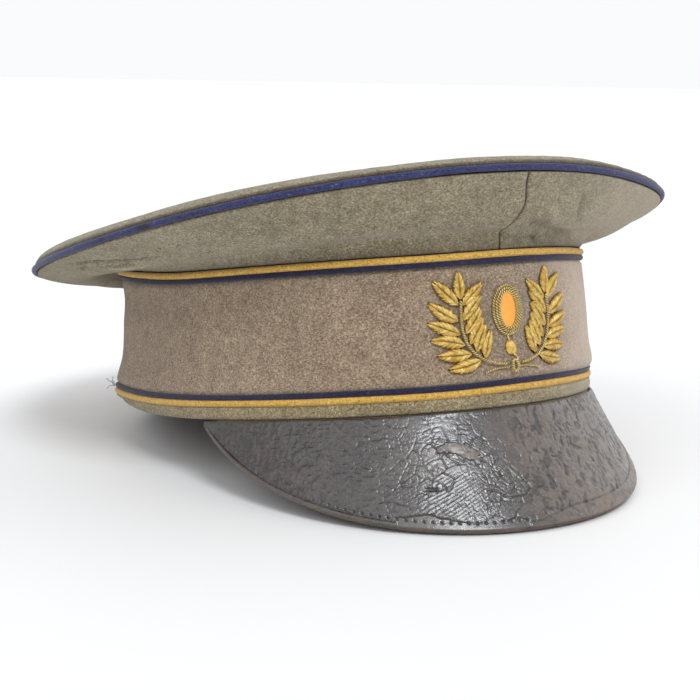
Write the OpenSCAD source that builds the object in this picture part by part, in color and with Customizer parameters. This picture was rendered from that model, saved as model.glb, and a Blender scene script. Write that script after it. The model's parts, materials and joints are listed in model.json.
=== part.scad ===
// Military peaked cap, standing on a table as it is put down: on the back edge of the
// band and on the lower edge of the visor. Millimetres, +Z up, -Y is the front.
//
// Each sub-part is drawn in the cap's own frame, whose origin is the middle of the head
// opening, in the plane of the band's lower edge. Module on_table() then tips the whole
// cap back until the rear of the band and the visor's edge touch Z = 0.
//
// An angle t runs round the cap: 0 at the front, 90 at the wearer's left, 180 at the back.

/* [Band] */
// Half length of the band over its lower piping
band_half_l = 104; // [98:0.5:110]
// Half width of the band over its lower piping
band_half_w = 86.5; // [82:0.5:91]
// How much the band narrows towards the front
band_egg = 0.06; // [0:0.01:0.08]
// Height of the upper piping at the front
band_h = 49.3; // [46:0.1:54]
// How much higher the upper piping is at the back
band_rear_rise = 2.9; // [0:0.1:3.5]
// How far the band is hollowed between its pipings
band_hollow = 1.2; // [0:0.1:2]
// Half length of the upper piping's oval
top_half_l = 103; // [98:0.5:110]
// Half width of the upper piping's oval
top_half_w = 83.5; // [79:0.5:90]
// Height of the cloth strip below the lower piping
strip_h = 4.2; // [3.5:0.1:5]

/* [Crown] */
// Half length of the crown at its rim
rim_half_l = 123; // [117:0.5:130]
// Half width of the crown at its rim
rim_half_w = 118.5; // [112:0.5:125]
// How much the crown widens towards the front
rim_egg = 0.026; // [0:0.002:0.04]
// Height of the rim at the sides
rim_h = 57.6; // [54:0.2:64]
// How much higher the rim is at the front than at the back
rim_rise = 26; // [16:1:30]
// Height of the rounded shoulder above the rim
crown_shoulder = 4.8; // [3:0.1:7]
// Rise of the crown's middle above its shoulder
crown_dome = 2.4; // [0:0.1:6]
// How far the crown's underside sags at the back
crown_sag = 4; // [1:0.5:5]

/* [Visor] */
// Angle from the front to each end of the visor
visor_reach = 68.5; // [60:0.5:74]
// Length of the visor at its middle
visor_len = 41.6; // [34:0.2:50]
// Droop of the visor below the band's plane at its middle
visor_droop = 60.5; // [50:0.5:66]
// Width of the leather binding along the visor's edge
binding_w = 5.5; // [4:0.1:7]

/* [Materials] */
// Thickness of the crown and band cloth
cloth_t = 1.1; // [0.8:0.1:1.2]
// Thickness of the stiffening card
card_t = 0.8; // [0.6:0.1:0.9]
// Thickness of the sweatband's leather
leather_t = 0.8; // [0.6:0.1:1]
// Thickness of the lining
lining_t = 0.5; // [0.4:0.1:0.7]
// Diameter of the gold and blue piping cords
cord_d = 2.2; // [1.8:0.05:2.3]
// Diameter of the navy piping cords
thin_cord_d = 1.7; // [1.4:0.05:1.8]

/* [Badge] */
// Distance of the badge's middle from the centre line, towards the wearer's left
badge_shift = 2; // [0:0.5:4]
// Height of the oval's middle above the band's lower edge
oval_z = 31; // [29:0.5:32]
// Half width of the oval
oval_half_w = 6; // [5:0.1:6.5]
// Half height of the oval
oval_half_h = 8.5; // [7:0.1:9]
// Number of leaf pairs on each laurel branch
leaf_pairs = 6; // [4:1:7]

/* [Hidden] */

// Colours
crown_cloth_col = [0.50, 0.48, 0.40];
band_cloth_col = [0.56, 0.49, 0.43];
strip_col = [0.48, 0.46, 0.35];
blue_col = [0.22, 0.24, 0.46];
navy_col = [0.17, 0.15, 0.30];
gold_col = [0.80, 0.64, 0.30];
bullion_col = [0.74, 0.60, 0.24];
silk_col = [0.98, 0.66, 0.24];
visor_col = [0.29, 0.27, 0.27];
tan_col = [0.55, 0.38, 0.24];
lining_col = [0.45, 0.40, 0.36];
card_col = [0.62, 0.55, 0.42];
steel_col = [0.55, 0.56, 0.58];
thread_col = [0.30, 0.26, 0.22];

// Steps round every closed ring, so that nested facets stay parallel
ring_steps = 60;
// Steps along the visor
visor_steps = 30;
// Air between neighbouring layers
gap = 0.15;

// Places across the band, measured outward from the lower piping's outer face
cloth_out = -cord_d / 2;
card_out = cloth_out - cloth_t - gap;
stay_out = card_out - card_t - gap;
sweat_out = stay_out - card_t - gap;

low_gold_z = strip_h + cord_d / 2 + 0.1;
low_navy_z = low_gold_z + (cord_d + thin_cord_d) / 2 + 0.1;
top_navy_drop = (cord_d + thin_cord_d) / 2 + 0.1;
band_cloth_z0 = low_navy_z + thin_cord_d / 2 + 0.1;
sweatband_h = 37;
seam_gap = 0.3;

wire_d = 2;
wire_in = 6;
stay_w = 9;
ferrule_len = 14;
interlining_t = 0.6;

// ---- Points ----

function mix(a, b, k) = a + (b - a) * k;
function oval(half_w, half_l, egg, shift, t) =
    [half_w * sin(t) * (1 - egg * cos(t)), shift - half_l * cos(t)];
function lift(p, z) = [p.x, p.y, z];
function unit(v) = v / norm(v);

// Horizontal ovals, grown outward by out
function base_at(t, out = 0) = oval(band_half_w + out, band_half_l + out, band_egg, 0, t);
function top_at(t, out = 0) = oval(top_half_w + out, top_half_l + out, band_egg / 2, -0.7, t);
function rim_at(t, out = 0) = oval(rim_half_w + out, rim_half_l + out, -rim_egg, 0.8, t);

// Heights of the upper piping and of the crown's rim
function smooth(k) = let (c = max(0, min(1, k))) c * c * (3 - 2 * c);
function top_z(t) = band_h + band_rear_rise * smooth((180 - abs(180 - abs(t)) - 70) / 60);
function rim_z(t, s = 1) = rim_h + rim_rise / 2 * s * cos(t) + 2.6 * (1 + s * s * cos(2 * t));

// A point of the band at height z, out millimetres outside the lower piping's outer face
function band_at(t, z, out) =
    let (v = z / top_z(t), hollow = band_hollow * sin(180 * max(0, min(1, v))))
    lift(mix(base_at(t, out - hollow), top_at(t, out - hollow), v), z);

// A point of the middle of the crown's side: u = 0 at the band, 1 at the rim
function side_at(t, u, out) =
    let (
        back = (1 - cos(t)) / 2,
        a = lift(top_at(t, cloth_out - cloth_t / 2), top_z(t) + cord_d / 2 + cloth_t / 2 + 0.2 + 0.6 * back),
        rim = lift(rim_at(t, -cord_d / 2), rim_z(t)),
        b = rim + unit(unit(a - rim) + [0, 0, -0.9]) * (cord_d / 2 + cloth_t / 2),
        flat = [b.x - a.x, b.y - a.y],
        run = norm(flat),
        rise = b.z - a.z,
        away = unit(flat) * rise / norm([run, rise]),
        belly = mix(0.8, crown_sag, back) * pow(sin(180 * u), 2) + out)
    mix(a, b, u) + belly * [away.x, away.y, -run / norm([run, rise])];

// A point of the crown's top: s = 1 at the rim, 0 in the middle
function crown_at(t, s, drop) =
    let (p = rim_at(t, cloth_out - 0.35 - drop))
    [p.x * s, 0.8 + (p.y - 0.8) * s,
     rim_z(t, s) + cord_d / 2 + 0.2 - drop + crown_shoulder * sqrt(1 - pow(s, 14)) + crown_dome * (1 - s * s)];

// Outward normal of the band's oval
function base_normal(t) =
    let (d = base_at(t + 0.5) - base_at(t - 0.5))
    unit([d.y, -d.x]);

// The visor: w runs down from the band, h is the height above its upper face
function visor_part(t) = abs(t) / visor_reach;
function visor_edge(t) = visor_len * pow(max(0, 1 - pow(visor_part(t), 2.2)), 0.86);
function visor_at(t, w, h) =
    let (n = base_normal(t), d = visor_droop + 11.6 * pow(visor_part(t), 2), p = base_at(t, -0.6),
         along = w * cos(d) + h * sin(d))
    [p.x + n.x * along, p.y + n.y * along, -0.2 - w * sin(d) + h * cos(d)];
function binding_at(t) = min(binding_w, 0.72 * visor_edge(t));
visor_end = 0.965 * visor_reach;

// A point on the front of the band: x is measured round the band
front_pitch = 1.39; // millimetres of band for each degree of t near the front
function front_at(x, z, out) = band_at((x + badge_shift) / front_pitch, z, cloth_out + gap + out);

// ---- Resting position ----

board_t = 1.2;
visor_t = 3.1;
rear_edge = band_half_l - 2.4;
rest_pitch = max([for (t = [0 : 1 : visor_end], h = [0, -visor_t])
                  let (p = visor_at(t, visor_edge(t), h)) atan2(-p.z, rear_edge - p.y)]);
function tipped(p) = [p.x, p.y * cos(rest_pitch) + p.z * sin(rest_pitch),
                      p.z * cos(rest_pitch) - p.y * sin(rest_pitch)];
front_y = min([for (t = [0 : 1 : visor_end], h = [0.6, -visor_t])
               tipped(visor_at(t, visor_edge(t), h)).y]);
back_y = tipped(lift(rim_at(180), rim_z(180))).y + 0.3;
rest_lift = rear_edge * sin(rest_pitch);

module on_table() {
    translate([0, -(front_y + back_y) / 2, rest_lift])
        rotate([-rest_pitch, 0, 0])
            children();
}

// ---- Solids ----

// A closed ring; section(t) lists its outer side upward, then its inner side downward
module ring(section) {
    rows = [for (i = [0 : ring_steps - 1]) section(360 * i / ring_steps)];
    k = len(rows[0]);
    polyhedron(
        points = [for (row = rows) each row],
        faces = [for (i = [0 : ring_steps - 1], j = [0 : k - 1])
                 let (next = (i + 1) % ring_steps, a = i * k + j, b = i * k + (j + 1) % k,
                      c = next * k + j, d = next * k + (j + 1) % k)
                 each [[a, b, d], [a, d, c]]],
        convexity = 10);
}

// A strip with two ends, over the listed values of t; the first half of its section
// faces the second half
module strip(section, ts) {
    rows = [for (t = ts) section(t)];
    k = len(rows[0]);
    n = len(rows);
    polyhedron(
        points = [for (row = rows) each row],
        faces = [
            for (j = [0 : k / 2 - 2])
                let (m = (n - 1) * k, a = j, b = j + 1, c = k - 2 - j, d = k - 1 - j)
                each [[a, d, c], [a, c, b], [m + a, m + c, m + d], [m + a, m + b, m + c]],
            for (i = [0 : n - 2], j = [0 : k - 1])
                let (a = i * k + j, b = i * k + (j + 1) % k,
                     c = (i + 1) * k + j, d = (i + 1) * k + (j + 1) % k)
                each [[a, b, d], [a, d, c]]],
        convexity = 10);
}

// A stack of rings that rises from a lower tip to an upper tip
module stack(rings, low_tip, high_tip) {
    k = len(rings[0]);
    n = len(rings);
    polyhedron(
        points = [low_tip, for (row = rings) each row, high_tip],
        faces = [
            for (j = [0 : k - 1]) [0, 1 + j, 1 + (j + 1) % k],
            for (i = [0 : n - 2], j = [0 : k - 1])
                let (a = 1 + i * k + j, b = 1 + i * k + (j + 1) % k,
                     c = 1 + (i + 1) * k + j, d = 1 + (i + 1) * k + (j + 1) % k)
                each [[a, c, d], [a, d, b]],
            for (j = [0 : k - 1])
                [1 + (n - 1) * k + j, 1 + n * k, 1 + (n - 1) * k + (j + 1) % k]],
        convexity = 10);
}

function turned(list) = [for (i = [len(list) - 1 : -1 : 0]) list[i]];

// Section of a layer of the band between two heights
function layer(t, z0, z1, out, thick, parts = 4) =
    let (zs = [for (i = [0 : parts]) mix(z0, z1, i / parts)])
    [for (z = zs) band_at(t, z, out), for (z = turned(zs)) band_at(t, z, out - thick)];

// A cord of diameter d round the band at height z; z may depend on t
module band_cord(d, z) {
    ring(function(t) [for (i = [0 : 5])
        band_at(t, z(t) + d / 2 * sin(60 * i), -cord_d / 2 + d / 2 * cos(60 * i))]);
}

// A tube along a list of points, with six sides; side gives the sideways direction
module tube(path, r, side) {
    n = len(path);
    rows = [for (i = [0 : n - 1])
        let (along = unit(path[min(i + 1, n - 1)] - path[max(i - 1, 0)]),
             u = unit(cross(along, side(path[i]))), v = cross(u, along))
        [for (k = [0 : 5]) path[i] + r * (cos(60 * k) * u + sin(60 * k) * v)]];
    polyhedron(
        points = [for (row = rows) each row],
        faces = [
            [for (k = [0 : 5]) k],
            [for (k = [5 : -1 : 0]) (n - 1) * 6 + k],
            for (i = [0 : n - 2], k = [0 : 5])
                let (a = i * 6 + k, b = i * 6 + (k + 1) % 6, c = a + 6, d = b + 6)
                each [[a, c, d], [a, d, b]]],
        convexity = 6);
}

// ---- Crown ----

crown_rings = [0.3, 0.6, 0.85, 0.95, 0.985, 1];

module crown_disc(rings, drop, thick) {
    ts = [for (i = [0 : ring_steps - 1]) 360 * i / ring_steps];
    stack(
        [for (s = rings) [for (t = ts) crown_at(t, s, drop + thick)],
         for (s = turned(rings)) [for (t = ts) crown_at(t, s, drop)]],
        crown_at(0, 0, drop + thick), crown_at(0, 0, drop));
}

// Oval panel of cloth on top of the cap
module crown_top() {
    color(crown_cloth_col) on_table() crown_disc(crown_rings, 0, cloth_t);
}

// Stiff canvas under the top panel
module crown_interlining() {
    color(card_col) on_table() crown_disc([0.3, 0.6, 0.85, 0.95], cloth_t + gap, interlining_t);
}

// One half of the crown's side, from the centre front seam to the centre back seam
module crown_side_half() {
    us = [0, 0.2, 0.4, 0.6, 0.8, 1];
    ts = [seam_gap, for (i = [1 : ring_steps / 2 - 1]) 360 * i / ring_steps, 180 - seam_gap];
    strip(function(t) [for (u = us) side_at(t, u, cloth_t / 2), for (u = turned(us)) side_at(t, u, -cloth_t / 2)],
          ts);
}

module crown_side_left() {
    color(crown_cloth_col) on_table() crown_side_half();
}

module crown_side_right() {
    color(crown_cloth_col) on_table() mirror([1, 0, 0]) crown_side_half();
}

// Blue cord sewn between the crown's top and side
module crown_piping() {
    color(blue_col) on_table()
        ring(function(t) [for (i = [0 : 5])
            lift(rim_at(t, -cord_d / 2 + cord_d / 2 * cos(60 * i)), rim_z(t) + cord_d / 2 * sin(60 * i))]);
}

function wire_z(t) = rim_z(t) + 1.1;

// Spring wire that holds the rim out
module crown_wire() {
    color(steel_col) on_table()
        ring(function(t) [for (i = [0 : 5])
            lift(rim_at(t, -wire_in + wire_d / 2 * cos(60 * i)), wire_z(t) + wire_d / 2 * sin(60 * i))]);
}

// Crimped sleeve over the wire's two ends, at the back
module wire_ferrule() {
    color(steel_col) on_table()
        translate([0, rim_at(180, -wire_in).y - 0.1, wire_z(180)])
            rotate([0, 90, 0])
                difference() {
                    cylinder(h = ferrule_len, d = wire_d + 1.1, center = true, $fn = 24);
                    cylinder(h = ferrule_len + 1, d = wire_d + 0.6, center = true, $fn = 24);
                }
}

// Flat steel stay that holds the crown's front up
module front_stay() {
    zs = [12, 24, 36, top_z(0) + 1];
    us = [0.3, 0.55, 0.8];
    face = function(t, out) [
        for (z = zs) band_at(t, z, stay_out - 0.15 + out),
        for (u = us) side_at(t, u, -cloth_t / 2 - 1 + out)];
    half_t = stay_w / 2 / front_pitch;
    color(steel_col) on_table()
        strip(function(t) [each face(t, 0), each turned(face(t, -0.6))], [-half_t, 0, half_t]);
}

// ---- Band ----

module band_cloth() {
    color(band_cloth_col) on_table()
        ring(function(t) layer(t, band_cloth_z0, top_z(t) - top_navy_drop - thin_cord_d / 2 - 0.1,
                               cloth_out, cloth_t));
}

module band_stiffener() {
    color(card_col) on_table()
        ring(function(t) layer(t, 2, top_z(t) - 0.3, card_out, card_t));
}

module band_piping_top_gold() {
    color(gold_col) on_table() band_cord(cord_d, function(t) top_z(t));
}

module band_piping_top_navy() {
    color(navy_col) on_table() band_cord(thin_cord_d, function(t) top_z(t) - top_navy_drop);
}

module band_piping_low_navy() {
    color(navy_col) on_table() band_cord(thin_cord_d, function(t) low_navy_z);
}

module band_piping_low_gold() {
    color(gold_col) on_table() band_cord(cord_d, function(t) low_gold_z);
}

// Cloth strip below the lower piping; its lower edge curls in under the band
module base_strip() {
    color(strip_col) on_table()
        ring(function(t) [
            band_at(t, 0, cloth_out - 1.6), band_at(t, 0.3, cloth_out - 0.7), band_at(t, 1.6, cloth_out - 0.2),
            band_at(t, strip_h, cloth_out), band_at(t, strip_h, cloth_out - cloth_t),
            band_at(t, 1.6, cloth_out - cloth_t - 0.1), band_at(t, 0.7, cloth_out - cloth_t - 0.4),
            band_at(t, 0.7, cloth_out - 1.9), band_at(t, 0, cloth_out - 1.9)]);
}

// ---- Inside ----

// Leather band against the head, open at its upper edge
module sweatband() {
    color(tan_col) on_table() ring(function(t) layer(t, 0.3, sweatband_h, sweat_out, leather_t, 3));
}

// Thread that joins the sweatband's lower edge to the band
module sweatband_stitching() {
    count = 72;
    stitch = [0.35, 3.2, 0.5];
    color(thread_col) on_table()
        for (i = [0 : count - 1])
            let (t = 360 * (i + 0.5) / count, p = band_at(t, 2.2, sweat_out - leather_t - 0.35),
                 n = base_normal(t))
            translate(p) rotate([0, 0, atan2(n.y, n.x)]) cube(stitch, center = true);
}

// Ribbon bow sewn at the back of the sweatband
module sweatband_bow() {
    loop_half = 6;
    color(lining_col) on_table()
        translate(band_at(180, 9, sweat_out - leather_t - 2.4)) {
            for (side = [-1, 1])
                translate([side * (loop_half + 1.3), 0, 0])
                    scale([loop_half, 1.4, 2.6]) sphere(r = 1, $fn = 24);
            scale([1.1, 1.9, 2]) sphere(r = 1, $fn = 24);
        }
}

// The lining is a bag that fills the crown's raised front and stays inside the band at the back
function lining_flare(t) = smooth((120 - (180 - abs(180 - t))) / 80);
function lining_reach(t) = mix(norm(top_at(t, sweat_out - 1)) / norm(rim_at(t)), 0.88, lining_flare(t));
function lining_at(t, k, drop) = crown_at(t, k * lining_reach(t), cloth_t + gap + interlining_t + 2 + drop);

// Lining of the crown's side, from the sweatband's upper edge to the edge of the lining's top
module lining_side() {
    face = function(t, in)
        let (foot = band_at(t, top_z(t) + mix(-1.5, 2.5, smooth(2 * lining_flare(t))), sweat_out - in),
             head = lining_at(t, 1 - in / 100, lining_t + 0.2))
        [band_at(t, sweatband_h + 0.8, sweat_out - in), band_at(t, sweatband_h + 6, sweat_out - in),
         foot, mix(foot, head, 0.5), head];
    color(lining_col) on_table()
        ring(function(t) [each face(t, 0), each turned(face(t, lining_t))]);
}

// Lining of the crown's top
module lining_top() {
    ts = [for (i = [0 : ring_steps - 1]) 360 * i / ring_steps];
    ks = [0.35, 0.7, 1];
    color(lining_col) on_table()
        stack(
            [for (k = ks) [for (t = ts) lining_at(t, k, lining_t)],
             for (k = turned(ks)) [for (t = ts) lining_at(t, k, 0)]],
            lining_at(0, 0, lining_t), lining_at(0, 0, 0));
}

// ---- Visor ----

visor_ts = [for (i = [-visor_steps / 2 : visor_steps / 2])
            let (k = i / (visor_steps / 2)) visor_end * sign(k) * (1 - pow(1 - abs(k), 1.4))];

// Stiff core, with a flange turned up inside the band
module visor_board() {
    upper = -0.9 - gap;
    lower = upper - board_t;
    flange_h = 5.5;
    color(card_col) on_table()
        strip(function(t) let (e = visor_edge(t) - 1) [
            visor_at(t, e, upper), visor_at(t, e / 2, upper), visor_at(t, 0.8, upper),
            band_at(t, -0.5, stay_out), band_at(t, flange_h, stay_out),
            band_at(t, flange_h, stay_out - 0.65), band_at(t, -0.9, stay_out - 0.65),
            visor_at(t, 1.5, lower), visor_at(t, e / 2, lower), visor_at(t, e, lower)], visor_ts);
}

// Section of a flat layer of the visor
function visor_layer(t, w0, w1, upper, thick) =
    let (ws = [w1, (w0 + w1) / 2, w0])
    [for (w = ws) visor_at(t, w, upper), for (w = turned(ws)) visor_at(t, w, upper - thick)];

module visor_leather() {
    color(visor_col) on_table()
        strip(function(t) visor_layer(t, 0.3, visor_edge(t) - 0.9, 0, 0.9), visor_ts);
}

module visor_lining() {
    color(tan_col) on_table()
        strip(function(t) visor_layer(t, 2, visor_edge(t) - 0.9, -0.9 - 2 * gap - board_t, 0.5), visor_ts);
}

// Leather binding folded over the visor's edge
module visor_binding() {
    color(visor_col) on_table()
        strip(function(t) let (e = visor_edge(t), b = binding_at(t)) [
            visor_at(t, e - b, -visor_t - 0.45), visor_at(t, e - 0.5, -visor_t - 0.45),
            visor_at(t, e, -visor_t), visor_at(t, e, 0.1),
            visor_at(t, e - 0.5, 0.6), visor_at(t, e - b, 0.6),
            visor_at(t, e - b, gap), visor_at(t, e - 1, gap),
            visor_at(t, e - 0.75, 0), visor_at(t, e - 0.75, 0.3 - visor_t),
            visor_at(t, e - 1, -visor_t), visor_at(t, e - b, -visor_t)], visor_ts);
}

// Thread along the inner edge of the binding
module visor_stitching() {
    count = 76;
    reach = 0.86 * visor_reach;
    stitch = [1.7, 0.5, 0.3];
    color(thread_col) on_table()
        for (i = [0 : count - 1])
            let (t = reach * (2 * (i + 0.5) / count - 1),
                 p = visor_at(t, visor_edge(t) - binding_at(t) + 1, 0.85),
                 q = visor_at(t + 0.5, visor_edge(t + 0.5) - binding_at(t + 0.5) + 1, 0.85),
                 up = unit(visor_at(t, 10, 1) - visor_at(t, 10, 0)),
                 along = unit(q - p), across = cross(up, along))
            multmatrix([[along.x, across.x, up.x, p.x], [along.y, across.y, up.y, p.y],
                        [along.z, across.z, up.z, p.z], [0, 0, 0, 1]])
                cube(stitch, center = true);
}

// ---- Badge: a laurel wreath of bullion round a plain oval ----

// A laurel branch rises from the knot: k = 0 at the knot, 1 at its tip; side is -1 or 1
function branch_at(k, side) =
    let (a = [1.5, 13.5], b = [20, 14], c = [17, 35])
    let (p = (1 - k) * (1 - k) * a + 2 * k * (1 - k) * b + k * k * c)
    [side * p.x, p.y];

// One pointed leaf from its foot, at an angle above the horizontal
module leaf(foot, angle, side, length, width) {
    half = [0.55, 0.95, 1, 0.8, 0.42];
    along = [side * cos(angle), sin(angle)];
    over = [-along.y, along.x] * -side;
    spot = function(k, off) foot + along * (length * k) + over * (width / 2 * off);
    outline = [
        spot(0, 0), for (i = [0 : 4]) spot((i + 1) / 6, half[i]),
        spot(1, 0), for (i = [4 : -1 : 0]) spot((i + 1) / 6, -half[i])];
    ordered = side > 0 ? outline : turned(outline);
    rim = function(out, grow) [for (p = ordered)
        let (q = mix(spot(0.5, 0), p, grow)) front_at(q.x, q.y, out)];
    stack([rim(0.3, 1), rim(0.7, 0.8)], let (m = spot(0.5, 0)) front_at(m.x, m.y, 0),
          let (m = spot(0.5, 0)) front_at(m.x, m.y, 1.1));
}

module branch_leaves(side) {
    for (i = [0 : leaf_pairs - 1])
        let (k = 0.3 + 0.66 * i / (leaf_pairs - 1), foot = branch_at(k, side)) {
            leaf(foot + [side * 1, 0], -12 + 60 * i / (leaf_pairs - 1), side, 10.5, 3.4);
            leaf(foot - [side * 1, 0], 80 - 28 * i / (leaf_pairs - 1), -side, 9.5 - 0.3 * abs(i - 4), 3.2);
        }
    leaf(branch_at(1, side) + [0, 0.8], 82, side, 9, 3.4);
}

module badge_leaves_left() {
    color(bullion_col) on_table() branch_leaves(1);
}

module badge_leaves_right() {
    color(bullion_col) on_table() branch_leaves(-1);
}

// Twisted rope stems of both branches and their two short tails below the knot
module badge_stems() {
    steps = 10;
    out = 1.9;
    facing = function(p) unit([p.x, p.y, 0]);
    color(bullion_col) on_table()
        for (side = [-1, 1]) {
            tube([for (i = [0 : steps]) let (p = branch_at(mix(0.08, 1, i / steps), side)) front_at(p.x, p.y, out)],
                 0.45, facing);
            tube([for (i = [0 : 4]) front_at(side * mix(2.6, 10.5, i / 4), mix(12.6, 11, i / 4), out - 0.8)],
                 0.4, facing);
        }
}

// Padded oval of silk
module badge_oval_silk() {
    steps = 24;
    row = function(grow, out) [for (i = [0 : steps - 1]) let (a = 360 * i / steps)
        front_at(3.1 * grow * cos(a), oval_z + 6.4 * grow * sin(a), out)];
    color(silk_col) on_table()
        stack([row(1, 0.2), row(1, 0.7), row(0.6, 1.2)], front_at(0, oval_z, 0), front_at(0, oval_z, 1.35));
}

// Three rows of bullion rope round the silk
module badge_oval_rope() {
    steps = 24;
    rope_d = 0.85;
    color(bullion_col) on_table()
        for (row = [0 : 2]) {
            inset = 0.5 + row;
            rows = [for (i = [0 : steps - 1]) let (a = 360 * i / steps)
                [for (k = [0 : 5])
                    let (grow = rope_d / 2 * cos(60 * k))
                    front_at((oval_half_w - inset + grow) * cos(a), oval_z + (oval_half_h - inset + grow) * sin(a),
                             0.8 + rope_d / 2 * sin(60 * k))]];
            polyhedron(
                points = [for (r = rows) each r],
                faces = [for (i = [0 : steps - 1], j = [0 : 5])
                         let (next = (i + 1) % steps, a = i * 6 + j, b = i * 6 + (j + 1) % 6,
                              c = next * 6 + j, d = next * 6 + (j + 1) % 6)
                         each [[a, d, b], [a, c, d]]],
                convexity = 6);
        }
}

// Small oval loop of bullion that ties the branches
module badge_knot() {
    color(bullion_col) on_table()
        translate(front_at(0, 13, 1.9))
            rotate([90, 0, 0])
                scale([0.75, 1, 1]) rotate_extrude($fn = 32) translate([1.5, 0]) circle(d = 1.1, $fn = 16);
}

// Bud of bullion between the knot and the oval
module badge_bud() {
    color(bullion_col) on_table() leaf([0.6, 16.4], 96, 1, 4.6, 3);
}

crown_top();
crown_side_left();
crown_side_right();
crown_piping();
crown_interlining();
crown_wire();
wire_ferrule();
front_stay();
band_cloth();
band_stiffener();
band_piping_top_gold();
band_piping_top_navy();
band_piping_low_navy();
band_piping_low_gold();
base_strip();
sweatband();
sweatband_stitching();
sweatband_bow();
lining_side();
lining_top();
visor_board();
visor_leather();
visor_lining();
visor_binding();
visor_stitching();
badge_leaves_left();
badge_leaves_right();
badge_stems();
badge_oval_silk();
badge_oval_rope();
badge_knot();
badge_bud();
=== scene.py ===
import itertools
import json
import math

import bmesh
import bpy
import numpy as np
from mathutils import Matrix, Vector


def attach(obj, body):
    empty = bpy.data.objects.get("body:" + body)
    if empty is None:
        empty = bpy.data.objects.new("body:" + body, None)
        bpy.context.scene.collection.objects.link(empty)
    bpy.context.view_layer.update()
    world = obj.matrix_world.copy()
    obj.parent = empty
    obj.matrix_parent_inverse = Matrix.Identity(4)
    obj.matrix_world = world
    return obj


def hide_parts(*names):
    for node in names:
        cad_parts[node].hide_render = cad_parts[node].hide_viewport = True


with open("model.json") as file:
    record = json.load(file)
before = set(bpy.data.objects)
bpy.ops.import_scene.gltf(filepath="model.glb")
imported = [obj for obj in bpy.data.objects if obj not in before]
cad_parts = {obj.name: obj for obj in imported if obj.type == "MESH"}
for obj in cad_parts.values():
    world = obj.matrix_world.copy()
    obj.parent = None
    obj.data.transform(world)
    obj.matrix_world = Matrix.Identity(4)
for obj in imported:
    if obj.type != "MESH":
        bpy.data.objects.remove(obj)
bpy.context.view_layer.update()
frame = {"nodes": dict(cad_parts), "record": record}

# The cap's own frame: millimetres, origin in the middle of the head opening, +Z up through
# the crown, -Y to the front. t runs round the cap from 0 at the front to the wearer's left.
# The head_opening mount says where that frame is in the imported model, and how it is tipped.

OPENING = next(m for m in frame["record"]["mounts"] if m["name"] == "head_opening")
ORIGIN = np.array(OPENING["pos_m"])
TIP = math.atan2(-OPENING["axis"][1], -OPENING["axis"][2])
TURN = np.array([[1, 0, 0], [0, math.cos(TIP), math.sin(TIP)], [0, -math.sin(TIP), math.cos(TIP)]])


def to_row(points):
    """Points in the cap's frame in millimetres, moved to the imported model's frame in metres."""
    return np.asarray(points, float) @ TURN.T / 1000 + ORIGIN


def cap_size(node):
    """The sizes of a CAD node in the cap's frame, in millimetres: its lowest and highest corners."""
    co = np.array([v.co for v in frame["nodes"][node].data.vertices])
    points = (co - ORIGIN) @ TURN * 1000
    return points.min(0), points.max(0)


LOW_CORD, TOP_CORD, RIM_CORD = (
    cap_size(n) for n in ("band_piping_low_gold", "band_piping_top_gold", "crown_piping"))

# Sizes of the real layers, in mm
CORD = 2.2
THIN_CORD = 1.75
CLOTH = 1.1
CARD = 0.8
LINING = 0.4
LEATHER = 0.8
BAND_EGG = 0.06
RIM_EGG = 0.026
BAND_W, BAND_L = LOW_CORD[1][0], LOW_CORD[1][1] + 0.35
TOP_W, TOP_L, TOP_SHIFT = TOP_CORD[1][0], (TOP_CORD[1][1] - TOP_CORD[0][1]) / 2, -0.7
RIM_W, RIM_L, RIM_SHIFT = RIM_CORD[1][0], (RIM_CORD[1][1] - RIM_CORD[0][1]) / 2, 0.8
BAND_HOLLOW = 1.2
BAND_H = 49.3
BAND_RISE = 2.9
RIM_H = 57.6
RIM_RISE = 26
SHOULDER = 5.3
DOME = 2.4
SAG = 4
LOW_GOLD_Z = 5.4
LOW_NAVY_Z = LOW_GOLD_Z + 2.05
NAVY_DROP = 2.05
VISOR_REACH = math.radians(71.2)
VISOR_LEN = 42.3
VISOR_DROOP = math.radians(59.2)
VISOR_MORE_DROOP = math.radians(11.6)
VISOR_THICK = 3.1
BINDING = 5.5
BADGE_SHIFT = 2.0
FRONT_PITCH = 1.39  # mm of band for each degree of t near the front
BAND_R = 92  # mean radius of the band, to turn angles into mm round it
RIM_R = 118
SIDE_MM = 26  # the crown's side cloth, measured up at the front
LOWEST = 0.00002  # m above the floor; what rests on the floor is flattened there


# ---- Repeatable noise ----

def lattice(cell, seed):
    """A random number from 0 to 1 for every whole-number place."""
    x, y, z = np.moveaxis(cell, -1, 0)
    h = (x * 374761393 + y * 668265263 + z * 1440662683 + seed * 97531) & 0xFFFFFFFF
    h = ((h ^ (h >> 13)) * 1274126177) & 0xFFFFFFFF
    h = ((h ^ (h >> 16)) * 668265263) & 0xFFFFFFFF
    return ((h ^ (h >> 15)) & 0xFFFFF) / 0xFFFFF


def noise(points, size, seed=0):
    """Smooth noise from -1 to 1 with features of about size."""
    q = np.asarray(points, float) / size
    cell = np.floor(q).astype(np.int64)
    f = q - cell
    f = f * f * (3 - 2 * f)
    total = np.zeros(q.shape[:-1])
    for corner in itertools.product((0, 1), repeat=3):
        weight = np.prod(np.where(np.array(corner) == 1, f, 1 - f), axis=-1)
        total += weight * lattice(cell + np.array(corner), seed)
    return total * 2 - 1


def fbm(points, size, octaves=3, seed=0):
    return sum(noise(points, size / 2 ** k, seed + k) / 2 ** k for k in range(octaves))


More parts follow.
